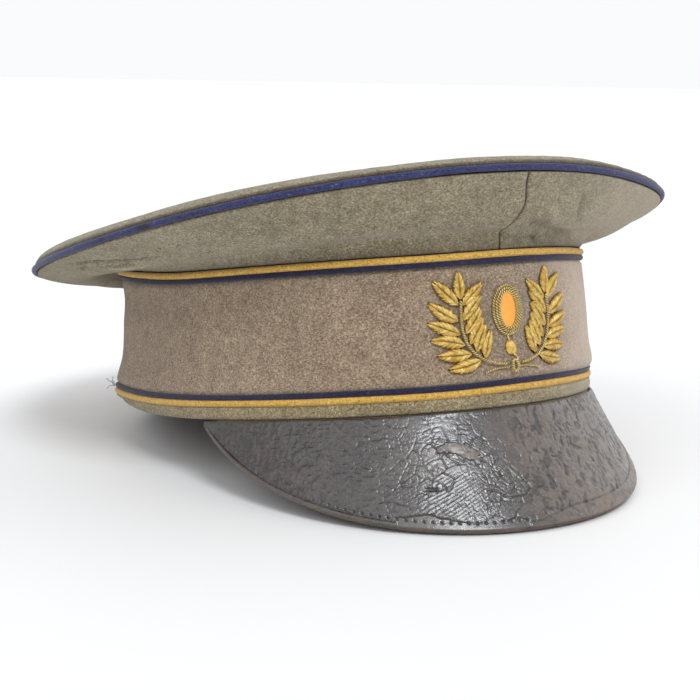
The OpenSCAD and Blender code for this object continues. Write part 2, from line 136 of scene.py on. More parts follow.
def cells(points, size, seed=0):
    """Distances to the nearest and second nearest of scattered points, and the cell's own number."""
    q = np.asarray(points, float) / size
    cell = np.floor(q).astype(np.int64)
    near = np.full(q.shape[:-1], 9.0)
    second = near.copy()
    own = np.zeros(q.shape[:-1])
    for step in itertools.product((-1, 0, 1), (-1, 0, 1), (0,)):
        c = cell + np.array(step)
        spot = np.stack([c[..., 0] + lattice(c, seed), c[..., 1] + lattice(c, seed + 7)], -1)
        d = np.linalg.norm(q[..., :2] - spot, axis=-1)
        closer = d < near
        second = np.where(closer, near, np.minimum(second, d))
        own = np.where(closer, lattice(c, seed + 13), own)
        near = np.minimum(near, d)
    return near, second, own


def smooth(k):
    k = np.clip(k, 0, 1)
    return k * k * (3 - 2 * k)


def mix(a, b, k):
    return a + (b - a) * k


def bump(x, middle, width):
    return np.exp(-((x - middle) / width) ** 2)


def unit(v):
    return v / np.maximum(np.linalg.norm(v, axis=-1, keepdims=True), 1e-9)


def grid_of(across_rows, across_columns):
    return np.meshgrid(across_rows, across_columns, indexing="ij")


def xyz(x, y, z):
    return np.stack(np.broadcast_arrays(x, y, z), -1).astype(float)


# ---- The cap's surfaces, as in the CAD model ----

def oval(half_w, half_l, egg, shift, t):
    return half_w * np.sin(t) * (1 - egg * np.cos(t)), shift - half_l * np.cos(t)


def base_at(t, out=0.0):
    return oval(BAND_W + out, BAND_L + out, BAND_EGG, 0, t)


def top_at(t, out=0.0):
    return oval(TOP_W + out, TOP_L + out, BAND_EGG / 2, TOP_SHIFT, t)


def rim_at(t, out=0.0):
    return oval(RIM_W + out, RIM_L + out, -RIM_EGG, RIM_SHIFT, t)


def turn_from_front(t):
    """The angle from the front, 0 to pi, on either side."""
    return np.abs((t + np.pi) % (2 * np.pi) - np.pi)


def top_z(t):
    return BAND_H + BAND_RISE * smooth((np.degrees(turn_from_front(t)) - 70) / 60)


def rim_z(t, s=1.0):
    return RIM_H + RIM_RISE / 2 * s * np.cos(t) + 2.6 * (1 + s * s * np.cos(2 * t))


def band_at(t, z, out, roll=0.0):
    """A point of the band; roll is how far the cloth swells out over the lower piping."""
    v = z / top_z(t)
    full = 1 - 0.9 * bump(np.degrees(t), 44, 30)
    arch = np.sin(np.pi * np.clip(v, 0, 1))
    hollow = full * (BAND_HOLLOW * arch + 0.8 * bump(v, 0.8, 0.13))
    out = out - hollow + roll * (1.25 * bump(z, 10, 6) + 1.3 * (1 - full) * arch)
    x0, y0 = base_at(t, out)
    x1, y1 = top_at(t, out)
    return xyz(mix(x0, x1, v), mix(y0, y1, v), z)


def side_at(t, u):
    """The middle of the crown's side cloth, u = 0 at the band and 1 at the rim; and its outward normal."""
    back = (1 - np.cos(t)) / 2
    a = xyz(*top_at(t, -CORD / 2 - CLOTH / 2), top_z(t) + CORD / 2 + CLOTH / 2 + 0.1 + 0.6 * back)
    rim = xyz(*rim_at(t, -CORD / 2), rim_z(t))
    b = rim + unit(unit(a - rim) + np.array([0, 0, -0.9])) * (CORD / 2 + CLOTH / 2 - 0.1)
    run = np.linalg.norm((b - a)[..., :2], axis=-1)
    rise = (b - a)[..., 2]
    length = np.hypot(run, rise)
    flat = unit((b - a)[..., :2])
    normal = xyz(flat[..., 0] * rise / length, flat[..., 1] * rise / length, -run / length)
    belly = mix(0.8, SAG, back) * np.sin(np.pi * u) ** 2
    belly = belly - 2.7 * (1 - back) ** 0.6 * bump(u, 0.17, 0.12)
    return mix(a, b, u[..., None] if np.ndim(u) else u) + normal * belly[..., None], normal


def crown_at(t, s, drop=0.0):
    """The crown's top: s = 1 at the rim, 0 in the middle."""
    x, y = rim_at(t, -CORD / 2 - 0.2 - drop)
    z = rim_z(t, s) + CORD / 2 + 0.1 - drop
    z = z + SHOULDER * np.sqrt(np.clip(1 - s ** 14, 0, 1)) + DOME * (1 - s * s)
    return xyz(x * s, RIM_SHIFT + (y - RIM_SHIFT) * s, z)


def settled(points):
    """The cap's points after years of wear: the band's back corners have lifted and spread a little,
    and the rim has dropped at the wearer's left front."""
    x, y, z = points[..., 0], points[..., 1], points[..., 2]
    t = np.degrees(np.arctan2(x / BAND_W, -y / BAND_L))
    corner = bump(np.abs(t), 114, 24)
    outward = unit(xyz(x / BAND_W, y / BAND_L, 0.0))
    lift = corner * (3.0 - 1.3 * np.clip(z / 50, 0, 1.4)) * smooth((z + 8) / 10)
    lift = lift + 0.5 * bump(t, 14, 20) * smooth(z / 6) * (1 - smooth((z - 52) / 8))
    lift = lift - 1.1 * bump(t, 38, 16) * smooth((z - 56) / 14)
    spread = 1.5 * corner * np.exp(-(np.clip(z, 0, None) / 16) ** 2)
    spread = spread + 0.9 * bump(t, 50, 18) * smooth((z - 56) / 12)
    spread = spread * smooth((np.hypot(x, y) - 60) / 20)
    return points + outward * spread[..., None] + xyz(0.0, 0.0, lift)


def base_normal(t):
    step = 0.005
    x0, y0 = base_at(t - step)
    x1, y1 = base_at(t + step)
    return unit(xyz(y1 - y0, x0 - x1, 0.0))


def visor_edge(t):
    return VISOR_LEN * np.clip(1 - np.abs(t / VISOR_REACH) ** 2.2, 0, 1) ** 0.86


def visor_at(t, w, h):
    """The visor: w runs down from the band, h is the height above its upper face."""
    n = base_normal(t)
    droop = VISOR_DROOP + VISOR_MORE_DROOP * (t / VISOR_REACH) ** 2
    along = w * np.cos(droop) + h * np.sin(droop)
    x, y = base_at(t, -0.6)
    z = -0.2 - w * np.sin(droop) + h * np.cos(droop)
    return xyz(x + n[..., 0] * along, y + n[..., 1] * along, z)


def binding_at(t):
    return np.minimum(BINDING, 0.72 * visor_edge(t))


# ---- Mesh helpers ----

def face_outwards(mesh):
    """Collapse edges of no length, and turn the faces of every closed shell outwards."""
    work = bmesh.new()
    work.from_mesh(mesh)
    bmesh.ops.dissolve_degenerate(work, dist=1e-6, edges=work.edges)
    bmesh.ops.recalc_face_normals(work, faces=work.faces)
    work.to_mesh(mesh)
    work.free()


def make_mesh(name, verts, quads, tris=(), colours=None):
    """One mesh object from points in the cap's frame; colours maps an attribute's name to values."""
    verts = settled(np.asarray(verts, float).reshape(-1, 3))
    quads = np.asarray(quads, np.int64).reshape(-1, 4)
    tris = np.asarray(tris, np.int64).reshape(-1, 3)
    mesh = bpy.data.meshes.new(name)
    mesh.vertices.add(len(verts))
    placed = to_row(verts)
    placed[:, 2] = np.maximum(placed[:, 2], LOWEST)
    mesh.vertices.foreach_set("co", placed.astype(np.float32).ravel())
    loops = np.concatenate([quads.ravel(), tris.ravel()])
    starts = np.concatenate([np.arange(len(quads)) * 4, len(quads) * 4 + np.arange(len(tris)) * 3])
    mesh.loops.add(len(loops))
    mesh.loops.foreach_set("vertex_index", loops.astype(np.int32))
    mesh.polygons.add(len(starts))
    mesh.polygons.foreach_set("loop_start", starts.astype(np.int32))
    mesh.update(calc_edges=True)
    mesh.validate()
    for key, values in (colours or {}).items():
        attribute = mesh.attributes.new(key, "FLOAT", "POINT")
        attribute.data.foreach_set("value", np.asarray(values, np.float32).ravel())
    face_outwards(mesh)
    mesh.shade_smooth()
    thing = bpy.data.objects.new(name, mesh)
    bpy.context.scene.collection.objects.link(thing)
    return thing


def grid_quads(rows, columns, start=0, wrap_rows=False, wrap_columns=False):
    """Four-sided faces of a grid of points; start is the number of its first point."""
    i = np.arange(rows if wrap_rows else rows - 1)[:, None]
    j = np.arange(columns if wrap_columns else columns - 1)[None, :]
    a, b = i * columns + j, i * columns + (j + 1) % columns
    c, d = ((i + 1) % rows) * columns + (j + 1) % columns, ((i + 1) % rows) * columns + j
    return np.stack([a, d, c, b], -1).reshape(-1, 4) + start


def shell(name, outer, inner, wrap=True, colours=None):
    """A closed piece between two grids [round, across, 3] of the same size."""
    n, k = outer.shape[:2]
    loop = np.concatenate([outer, inner[:, ::-1]], axis=1)
    quads = [grid_quads(n, 2 * k, 0, wrap, True)]
    if not wrap:
        for row, flip in ((0, False), (n - 1, True)):
            base = row * 2 * k
            j = np.arange(k - 1)
            face = np.stack([base + j, base + j + 1, base + 2 * k - 2 - j, base + 2 * k - 1 - j], -1)
            quads.append(face[:, ::-1] if flip else face)
    both = {}
    for key, values in (colours or {}).items():
        both[key] = np.concatenate([values, values[:, ::-1]], axis=1)
    return make_mesh(name, loop, np.concatenate(quads), colours=both)


def capped(grid, start=0):
    """Points and faces of a solid: a grid [round, across, 3], closed at its two ends' middles."""
    n, k = grid.shape[:2]
    verts = np.concatenate([grid.reshape(-1, 3), [grid[:, 0].mean(0), grid[:, -1].mean(0)]])
    first = np.arange(n) * k
    after = np.roll(first, -1)
    tris = np.concatenate([np.stack([np.full(n, n * k), after, first], -1),
                           np.stack([np.full(n, n * k + 1), first + k - 1, after + k - 1], -1)])
    return verts, grid_quads(n, k, start, True), tris + start


def disc_shell(name, top, bottom, colours=None):
    """A closed disc between two grids [round, rim to middle, 3]."""
    verts, quads, tris = capped(np.concatenate([bottom[:, ::-1], top], axis=1))
    both = {}
    for key, values in (colours or {}).items():
        both[key] = np.append(np.concatenate([values[:, ::-1], values], axis=1), [0, 0])
    return make_mesh(name, verts, quads, tris, both)


def tube_parts(paths, radii, sides=6, closed=False, facing=None):
    """Points, four-sided and three-sided faces of round threads along paths [count, points, 3]."""
    paths = np.asarray(paths, float)
    count, length = paths.shape[:2]
    radii = np.broadcast_to(np.asarray(radii, float), (count, length))
    if closed:
        along = unit(np.roll(paths, -1, 1) - np.roll(paths, 1, 1))
    else:
        along = unit(np.gradient(paths, axis=1))
    up = np.broadcast_to(np.array([0.0, 0.0, 1.0]) if facing is None else facing, paths.shape)
    u = unit(np.cross(along, up))
    v = np.cross(u, along)
    angle = np.arange(sides) * 2 * np.pi / sides
    rings = paths[:, :, None] + radii[..., None, None] * (
        np.cos(angle)[:, None] * u[:, :, None] + np.sin(angle)[:, None] * v[:, :, None])
    per = length * sides
    one = grid_quads(length, sides, 0, closed, True)
    quads = (one[None] + (np.arange(count) * per)[:, None, None]).reshape(-1, 4)
    verts = rings.reshape(-1, 3)
    tris = np.zeros((0, 3), np.int64)
    if not closed:
        tris = []
        ends = paths[:, [0, -1]].reshape(-1, 3)
        verts = np.concatenate([verts, ends])
        j = np.arange(sides)
        for k in range(count):
            first, last = k * per, k * per + per - sides
            a, b = count * per + 2 * k, count * per + 2 * k + 1
            tris.append(np.stack([np.full(sides, a), first + j, first + (j + 1) % sides], -1))
            tris.append(np.stack([np.full(sides, b), last + (j + 1) % sides, last + j], -1))
        tris = np.concatenate(tris)
    return verts, quads, tris


def tubes(name, paths, radii, sides=6, closed=False, facing=None, colours=None):
    """Many round threads in one mesh; radii is one number or [count, points]."""
    count, length = np.shape(paths)[:2]
    verts, quads, tris = tube_parts(paths, radii, sides, closed, facing)
    values = {}
    for key, given in (colours or {}).items():
        spread = np.repeat(np.broadcast_to(given, (count, length)), sides, axis=1).ravel()
        values[key] = spread if closed else np.concatenate([spread, np.repeat(given, 2)])
    return make_mesh(name, verts, quads, tris, values)


STRANDS_OUT = 0.55  # how far out a rope's strands lie, as a share of its radius


def plies(path, across, radius, turns, closed, start):
    """The centre lines of a rope's two strands, wound round path; across: unit directions off it."""
    n = len(path)
    along = unit(np.roll(path, -1, 0) - np.roll(path, 1, 0)) if closed else unit(np.gradient(path, axis=0))
    side = unit(np.cross(along, across))
    other = np.cross(side, along)
    angle = np.arange(n) / (n if closed else n - 1) * turns * 2 * np.pi + start
    lines = []
    for strand_turn in (0, np.pi):
        a = (angle + strand_turn)[:, None]
        lines.append(path + radius * STRANDS_OUT * (np.cos(a) * side + np.sin(a) * other))
    return np.array(lines)


# ---- Materials ----

class Nodes:
    """A node tree, with short calls for the nodes used here."""

    def __init__(self, owner):
        owner.use_nodes = True
        self.tree = owner.node_tree

    def new(self, kind, inputs=None, **settings):
        node = self.tree.nodes.new("ShaderNode" + kind)
        for key, value in settings.items():
            setattr(node, key, value)
        for key, value in (inputs or {}).items():
            if isinstance(value, bpy.types.NodeSocket):
                self.tree.links.new(value, node.inputs[key])
            else:
                node.inputs[key].default_value = value
        return node

    def map(self, value, low, high, to_low=0.0, to_high=1.0, **settings):
        inputs = {0: value, 1: low, 2: high, 3: to_low, 4: to_high}
        return self.new("MapRange", inputs, **settings).outputs[0]

    def math(self, operation, a, b):
        return self.new("Math", {0: a, 1: b}, operation=operation).outputs[0]


class Shader(Nodes):
    """A material's nodes."""

    def __init__(self, name, roughness, **sockets):
        self.material = bpy.data.materials.new(name)
        super().__init__(self.material)
        self.out = self.tree.nodes["Principled BSDF"]
        self.out.inputs["Roughness"].default_value = roughness
        for key, value in sockets.items():
            self.out.inputs[key.replace("_", " ")].default_value = value
        self.place = self.new("TexCoord").outputs["Object"]

    def noise(self, size_mm, detail=2.0, rough=0.5, stretch=None, distortion=0.0):
        vector = self.place
        if stretch:
            vector = self.new("Mapping", {"Vector": vector, "Scale": stretch}).outputs[0]
        return self.new("TexNoise", {"Vector": vector, "Scale": 1000 / size_mm, "Detail": detail,
                                     "Roughness": rough, "Distortion": distortion}).outputs["Fac"]

    def cells(self, size_mm):
        inputs = {"Vector": self.place, "Scale": 1000 / size_mm}
        return self.new("TexVoronoi", inputs, feature="DISTANCE_TO_EDGE").outputs["Distance"]

    def mix(self, factor, a, b, blend="MIX"):
        node = self.new("Mix", {0: factor, 6: a, 7: b}, data_type="RGBA", blend_type=blend)
        return node.outputs[2]

    def value(self, name):
        return self.new("Attribute", attribute_name=name).outputs["Fac"]

    def link(self, name, socket):
        self.tree.links.new(socket, self.out.inputs[name])

    def bump(self, height, depth_mm, strength=1.0):
        node = self.new("Bump", {"Height": height, "Distance": depth_mm / 1000, "Strength": strength})
        self.link("Normal", node.outputs[0])


def rgb(r, g, b):
    """A colour from its sRGB values, 0 to 255."""
    linear = [((c / 255 + 0.055) / 1.055) ** 2.4 if c > 10 else c / 255 / 12.92 for c in (r, g, b)]
    return (*linear, 1.0)


def wool(name, base, dark, light, cool, painted_highlight):
    """Felted wool: a heather of dark and pale fibres over a slightly patchy ground."""
    s = Shader(name, 0.95, Sheen_Weight=0.3, Sheen_Roughness=0.5, Specular_IOR_Level=0.12)
    ground = s.mix(s.map(s.noise(30, 3, 0.6), 0.38, 0.64), base, cool)
    fibre = s.noise(0.85, 4, 0.8, distortion=0.4)
    pale = s.noise(0.7, 3, 0.8, (1, 1, 1.4), 0.6)
    ground = s.mix(s.map(fibre, 0.45, 0.58, 0, 0.78), ground, dark)
    ground = s.mix(s.map(pale, 0.48, 0.60, 0, 0.72), ground, light)
    ground = s.mix(s.map(s.noise(3.2, 3, 0.7), 0.48, 0.66, 0, 0.30), ground, dark)
    soft = s.map(s.noise(7, 3, 0.6), 0.32, 0.68, 0.88, 1.1)
    shade = s.new("CombineColor", {0: soft, 1: soft, 2: soft}).outputs[0]
    ground = s.mix(1.0, ground, shade, "MULTIPLY")
    # Painted highlight: lighter on the crown's fold ridges and on the wearer's left front, the side towards
    # the light.
    ground = s.mix(s.value("painted_highlight"), ground, s.mix(0.5, ground, painted_highlight))
    # Darker where marked: real moth and dust specks, and painted shade in the crown's fold bottoms, along
    # its rim and at the foot of its side.
    ground = s.mix(s.value("stain_and_shade"), ground, rgb(52, 38, 28))
    s.link("Base Color", ground)
    height = s.math("ADD", fibre, s.math("MULTIPLY", pale, 0.9))
    s.bump(height, 0.5, 1.0)
    return s.material


def cord_cloth(name, base, dark, light, worn):
    """Fine cloth wrapped round a cord, rubbed pale in places."""
    s = Shader(name, 0.85, Sheen_Weight=0.2, Specular_IOR_Level=0.25)
    grain = s.noise(0.55, 2, 0.6)
    colour = s.mix(s.map(grain, 0.42, 0.7), base, dark)
    colour = s.mix(s.map(s.noise(0.9, 2, 0.7, distortion=0.5), 0.58, 0.72, 0, 0.6), colour, light)
    colour = s.mix(s.map(s.noise(9, 4, 0.7), 0.55, 0.72, 0, 0.7), colour, worn)
    colour = s.mix(s.value("stain_and_shade"), colour, rgb(38, 30, 26))
    s.link("Base Color", colour)
    s.bump(grain, 0.18, 0.7)
    return s.material


def bullion(name, base, dark, light):
    """Gilt metal thread, a little tarnished."""
    s = Shader(name, 0.42, Metallic=0.55)
    patina = s.map(s.noise(2.2, 3, 0.65), 0.38, 0.68)
    colour = s.mix(patina, base, light)
    colour = s.mix(s.map(s.noise(0.5, 2, 0.6), 0.5, 0.75, 0, 0.6), colour, dark)
    # Painted shade in the grooves between strands and threads, with a random tone per thread.
    colour = s.mix(s.value("shade_and_tone"), colour, dark)
    s.link("Base Color", colour)
    s.link("Roughness", s.map(patina, 0, 1, 0.5, 0.34))
    s.bump(s.noise(0.3, 2, 0.6), 0.08, 0.6)
    return s.material


def plain_cloth(name, base, other, grain_mm, roughness=0.8, sheen=0.2):
    """Woven cloth or thread of two close colours."""
    s = Shader(name, roughness, Sheen_Weight=sheen)
    colour = s.mix(s.map(s.noise(14, 3), 0.35, 0.7), base, other)
    colour = s.mix(s.map(s.noise(grain_mm, 2, 0.6), 0.5, 0.8, 0, 0.3), colour, rgb(40, 34, 28))
    s.link("Base Color", colour)
    s.bump(s.noise(grain_mm, 2, 0.5), 0.12, 0.6)
    return s.material


def leather(name, base, other, worn, roughness, grain=1.0, shine=0.5, coat=0.0):
    """Old finished leather; the mesh's crack and worn values steer its colour and gloss, and the crack
    value also carries painted shade.
    """
    s = Shader(name, roughness, Specular_IOR_Level=shine, Coat_Weight=coat, Coat_Roughness=0.24)
    colour = s.mix(s.map(s.noise(16, 4, 0.6), 0.38, 0.62), base, other)
    colour = s.mix(s.map(s.noise(0.9, 3, 0.75), 0.5, 0.7, 0, 0.45), colour, worn)
    colour = s.mix(s.value("worn"), colour, worn)
    # Dark in cracks, and painted shade where the mesh marks it, along the visor's root.
    colour = s.mix(s.value("crack_and_shade"), colour, rgb(20, 15, 13))
    s.link("Base Color", colour)
    gloss = s.map(s.noise(2.2, 4, 0.7), 0.35, 0.68, roughness - 0.08, roughness + 0.14)
    s.link("Roughness", s.math("ADD", gloss, s.math("MULTIPLY", s.value("worn"), 0.42)))
    height = s.math("ADD", s.noise(0.8, 3, 0.7), s.math("MULTIPLY", s.cells(0.9), 0.8))
    s.bump(height, 0.10 * grain, 1.0)
    if coat:
        bare = s.math("MULTIPLY", s.value("worn"), 0.6)
        bare = s.math("MAXIMUM", s.value("dull"), bare)
        whole = s.math("SUBTRACT", 1.0, s.math("MAXIMUM", s.value("crack_and_shade"), bare))
        s.link("Coat Weight", s.math("MULTIPLY", whole, coat))
    return s.material


def steel(name):
    s = Shader(name, 0.35, Metallic=1.0)
    s.link("Base Color", s.mix(s.map(s.noise(5, 4, 0.7), 0.4, 0.7), rgb(150, 150, 154), rgb(104, 92, 82)))
    s.bump(s.noise(0.6, 3), 0.05, 0.4)
    return s.material


# Each material's maker, name, colours as sRGB from 0 to 255, and the rest of what its maker takes
PALETTE = [
    # The wool's last colour is the one its painted highlight lightens towards.
    (wool, "crown_cloth", (156, 144, 116), (98, 86, 64), (208, 197, 168), (142, 133, 105), (232, 216, 196)),
    (wool, "band_cloth", (158, 136, 112), (102, 82, 64), (212, 192, 166), (148, 126, 105), (236, 216, 196)),
    (wool, "strip_cloth", (152, 134, 101), (88, 74, 50), (206, 192, 154), (138, 124, 92), (214, 200, 176)),
    (cord_cloth, "blue_cord", (54, 58, 102), (22, 24, 50), (112, 118, 160), (74, 78, 122)),
    (cord_cloth, "navy_cord", (36, 34, 64), (14, 13, 28), (82, 80, 116), (44, 42, 72)),
    (cord_cloth, "gold_cord", (214, 172, 82), (150, 108, 42), (250, 222, 146), (196, 160, 92)),
    (bullion, "bullion", (222, 180, 84), (70, 48, 16), (250, 220, 136)),
    (bullion, "bullion_rope", (228, 196, 116), (52, 38, 16), (248, 228, 168)),
    (plain_cloth, "silk", (250, 162, 54), (254, 180, 80), 0.4, 0.5, 0.1),
    (leather, "visor_leather", (37, 33, 37), (46, 40, 39), (112, 96, 84), 0.26, 0.8, 0.85, 1.0),
    (leather, "binding_leather", (60, 54, 54), (74, 60, 50), (114, 96, 76), 0.4, 1.0, 0.6),
    (leather, "visor_underside", (78, 60, 44), (64, 48, 36), (110, 86, 62), 0.6, 1.4),
    (leather, "sweat_leather", (132, 92, 60), (104, 70, 44), (78, 54, 38), 0.46),
    (plain_cloth, "lining", (140, 124, 104), (122, 106, 88), 0.35, 0.5, 0.3),
    (plain_cloth, "ribbon", (48, 40, 36), (60, 50, 44), 0.4, 0.5, 0.2),
    (plain_cloth, "canvas", (190, 178, 146), (174, 160, 130), 0.6),
    (plain_cloth, "card", (170, 152, 118), (154, 136, 104), 0.8),
    (plain_cloth, "thread", (70, 58, 46), (58, 46, 38), 0.3),
    (steel, "steel"),
]
MATERIALS = {}
for maker, material_name, *values in PALETTE:
    values = [rgb(*v) if isinstance(v, tuple) else v for v in values]
    MATERIALS[material_name] = maker(material_name, *values)
SLOTS = {p["node"]: p["material_slot"] for p in frame["record"]["subparts"]}


def sheet(thing, pieces=()):
    """Returns the piece as it is."""
    return thing


def finish_piece(thing, node):
    """Rides the piece on the cap, in place of its CAD node, with that slot's material."""
    name = SLOTS[node]
    thing.data.materials.clear()
    thing.data.materials.append(MATERIALS[name])
    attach(thing, "root")
    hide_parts(node)
    return thing


# ---- Crown ----

ROUND = 600
T_ROUND = np.arange(ROUND) * 2 * np.pi / ROUND


def surface_normals(grid):
    """Outward normals of a closed grid [round, across, 3]."""
    return unit(np.cross(np.roll(grid, -1, 0) - np.roll(grid, 1, 0), np.gradient(grid, axis=1)))


def crown_lift(t, s, top):
    """How far the crown's top stands out from its plain shape: soft dents, puckers along the rim."""
    edge = smooth((s - 0.9) / 0.1)
    mm = t * RIM_L
    puckers = 0.10 * np.sin(mm * 2 * np.pi / 7.5 + 2 * noise(xyz(mm, 0, 0), 30, 3)) * bump(s, 0.985, 0.02)
    soft = 0.55 * noise(top, 60, 5) + 0.22 * noise(top, 22, 6) * (1 - 0.5 * edge)
    soft = soft + 0.05 * fbm(top, 3.5, 2, 8)
    return soft * smooth((1 - s) / 0.02) + puckers


def build_crown_top():
    near_rim = [np.linspace(1, 0.97, 14)[:-1], np.linspace(0.97, 0.88, 14)[:-1]]
    s = np.concatenate([*near_rim, np.linspace(0.88, 0.03, 50)])
    t, ss = grid_of(T_ROUND, s)
    top = crown_at(t, ss)
    normal = surface_normals(top)
    top = top + normal * crown_lift(t, ss, top)[..., None]
    under = crown_at(t, ss, CLOTH)
    under[:, 1:] = top[:, 1:] - normal[:, 1:] * CLOTH
    # Painted shade: a dark line along the top's rim, where the cloth meets the piping.
    rim_shade = 0.85 * np.exp(-((1 - ss) * RIM_L / 0.5) ** 2)
    colours = {"stain_and_shade": np.clip(stains(top, 71, 34, 0.5) + rim_shade, 0, 0.9)}
    thing = disc_shell("crown_top_cloth", top, under, colours)
    return sheet(finish_piece(thing, "crown_top"))


def stains(points, seed, size, share):
    """Sparse small dark specks, as moth and dust leave."""
    x, y, z = np.moveaxis(points, -1, 0)
    near, _, own = cells(xyz(x + y * 0.3, z + y, 0), size, seed)
    spot = size * near < 0.5 + 0.7 * own
    return np.where(spot & (own < share), 0.75, 0.0)


def from_line(a, b, points):
    """How far along the line from a to b each point is, 0 to 1, and how far from the line."""
    k = np.clip(((points - a) @ (b - a)) / ((b - a) @ (b - a)), 0, 1)
    return k, np.linalg.norm(points - (a + k[..., None] * (b - a)), axis=-1)


def crease(a, b, points, width):
    """1 on the line from a to b, falling off over width, with soft ends."""
    k, d = from_line(a, b, points)
    return np.exp(-(d / width) ** 2) * np.sin(np.pi * np.clip(k * 0.96 + 0.02, 0, 1)) ** 0.5


CORD_STEPS = 900
SIDE_LIGHT = 0.55  # how much lighter the wool is painted on the wearer's left front: a painted highlight for the light from that side


def lit_side(points):
    """1 on the wearer's left front, the side the light falls on; it sets where the painted highlight goes.
    """
    t = np.degrees(np.arctan2(points[..., 0] / BAND_W, -points[..., 1] / BAND_L))
    return smooth((t - 4) / 34) * (1 - smooth((t - 110) / 40))


# Creases of the crown's side on (degrees round from the front, share of the way up to the rim):
# start, end, width, depth in mm. Negative depth is a ridge.
REAR_FOLDS = [((-88, 0.86), (-73, 0.64), 0.9, 1.7), ((-85, 0.72), (-75, 0.56), 1.2, 2.2),
              ((-87, 0.79), (-76, 0.62), 0.6, -1.1), ((-76, 0.64), (-66, 0.60), 0.8, 1.1),
              ((-90, 0.68), (-84, 0.77), 0.7, 1.0), ((-82, 0.58), (-72, 0.48), 0.9, -0.9)]
FRONT_FOLDS = [((3, 0.42), (15, 0.22), 2.0, 1.5), ((6, 0.60), (12, 0.34), 1.6, -0.9),
               ((15, 0.22), (27, 0.12), 2.4, 1.5), ((12, 0.34), (24, 0.24), 1.8, -1.0),
               ((9, 0.14), (11, 0.05), 1.2, 1.0), ((14, 0.80), (18, 0.42), 1.8, 0.8)]
FOLD_PLACE = np.array([1.9, 34.0])  # mm for each degree round, and for the whole way up


def crown_folds(where, folds):
    """The sum of folds' depths at places in mm, and a sharper value for their dark bottoms."""
    depth, bottom = np.zeros(where.shape[:-1]), np.zeros(where.shape[:-1])
    for start, end, width, fold_depth in folds:
        a, b = np.append(start * FOLD_PLACE, 0), np.append(end * FOLD_PLACE, 0)
        depth += fold_depth * crease(a, b, where, width)
        bottom += np.sign(fold_depth) * crease(a, b, where, width * 0.65)
    return depth, bottom


def build_crown_side(side):  # 1 is the wearer's left
    mirror = np.array([side, 1, 1])
    front, rear = np.linspace(0, 0.012, 12)[:-1], np.linspace(0.988, 1, 12)[1:]
    steps = np.concatenate([front, np.linspace(0.012, 0.988, 460), rear])
    t, u = grid_of(steps * np.pi, np.linspace(0, 1, 56))
    # The front seam wanders a little from side to side on its way up
    wander = (2.7 * bump(u, 0.60, 0.20) - 0.9 * bump(u, 0.27, 0.10)) / RIM_W * smooth(1 - t / 0.3)
    mid, normal = side_at(t + wander * side, u)
    where = xyz(np.degrees(t) * side * FOLD_PLACE[0], u * FOLD_PLACE[1], 0.0)
    where = where + 0.7 * xyz(noise(where, 3, 17), noise(where, 3, 18), 0)
    rear, rear_bottom = crown_folds(where, REAR_FOLDS)
    front, front_bottom = crown_folds(where, FRONT_FOLDS)
    folds = 1.3 * rear + front
    spots = mid * mirror
    soft = 0.5 * noise(spots, 45, 11) + 0.2 * noise(spots, 16, 12) + 0.05 * fbm(spots, 3.5, 2, 14)
    seam_mm = np.minimum(t, np.pi - t) * RIM_R
    tuck = 0.75 * np.exp(-(seam_mm / 0.45) ** 2) - 0.12 * bump(seam_mm, 2.0, 1.2)
    foot = -0.25 * np.exp(-(u * SIDE_MM / 1.6) ** 2)
    amount = soft * np.sin(np.pi * np.clip(u, 0, 1)) ** 0.5 - folds - tuck - foot
    gap = np.array([1.0, 0, 0]) * (0.03 * np.exp(-(seam_mm / 0.5) ** 2))[..., None]
    outer = (mid + normal * (CLOTH / 2 + amount)[..., None] + gap) * mirror
    inner = (mid + normal * (np.minimum(amount, 0) - CLOTH / 2)[..., None] + gap) * mirror
    dark = 0.85 * np.exp(-(seam_mm / 0.3) ** 2)
    # Painted shade in the bottoms of the folds, stronger at the rear.
    fold_shade = np.clip(rear_bottom, 0, 1) * (0.6 + 0.4 * smooth(noise(outer, 2.5, 9) * 2))
    fold_shade = fold_shade + 0.34 * np.clip(front_bottom, 0, 1)
    # Painted shade along the foot of the side cloth, just above the piping, on the front half.
    foot_shade = 0.45 * np.exp(-(u * SIDE_MM / 2.2) ** 2) * smooth((90 - np.degrees(t)) / 30)
    # Painted highlight along the ridges of the folds.
    pale = 0.9 * np.clip(-rear_bottom - 0.5 * front_bottom, 0, 1)
    colours = {"stain_and_shade": np.clip(dark + stains(outer, 41, 30, 0.4) + fold_shade + foot_shade, 0, 0.9),
               "painted_highlight": np.clip(pale + SIDE_LIGHT * lit_side(outer), 0, 0.9)}
    node = "crown_side_left" if side > 0 else "crown_side_right"
    thing = shell(node + "_cloth", outer, inner, False, colours)
    return sheet(finish_piece(thing, node))


def cord_ring(name, node, centre, radius, uneven, seed, rubbed_at=None):
    """A piping round centre(t); rubbed_at is where it has worn through, in degrees round."""
    t = np.arange(CORD_STEPS) * 2 * np.pi / CORD_STEPS
    line = centre(t)
    wave = 1 + uneven * noise(line, 9, seed) + 0.035 * noise(line, 1.4, seed + 1)
    line = line + xyz(0, 0, 0.16 * noise(line, 24, seed + 2))
    stain_and_shade = 0.4 * smooth(noise(line, 7, seed + 5) * 3 - 1.9)
    if rubbed_at is not None:
        near = bump(np.degrees(t) - 360, rubbed_at, 16)
        stain_and_shade = stain_and_shade + 0.85 * (smooth(noise(line, 4, seed + 6) * 2.4 - 0.5) * near)
    stain_and_shade = np.clip(stain_and_shade, 0, 0.9)
    thing = tubes(name, line[None], radius * wave[None], 14, True, colours={"stain_and_shade": stain_and_shade[None]})
    return finish_piece(thing, node)


def rim_cord_line(t):
    return xyz(*rim_at(t, -CORD / 2), rim_z(t))


def band_cord_line(z, out):
    """The line of a piping on the band: z(t) is its height."""
    def line(t):
        x0, y0 = base_at(t, out)
        x1, y1 = top_at(t, out)
        v = z(t) / top_z(t)
        return xyz(mix(x0, x1, v), mix(y0, y1, v), z(t))
    return line


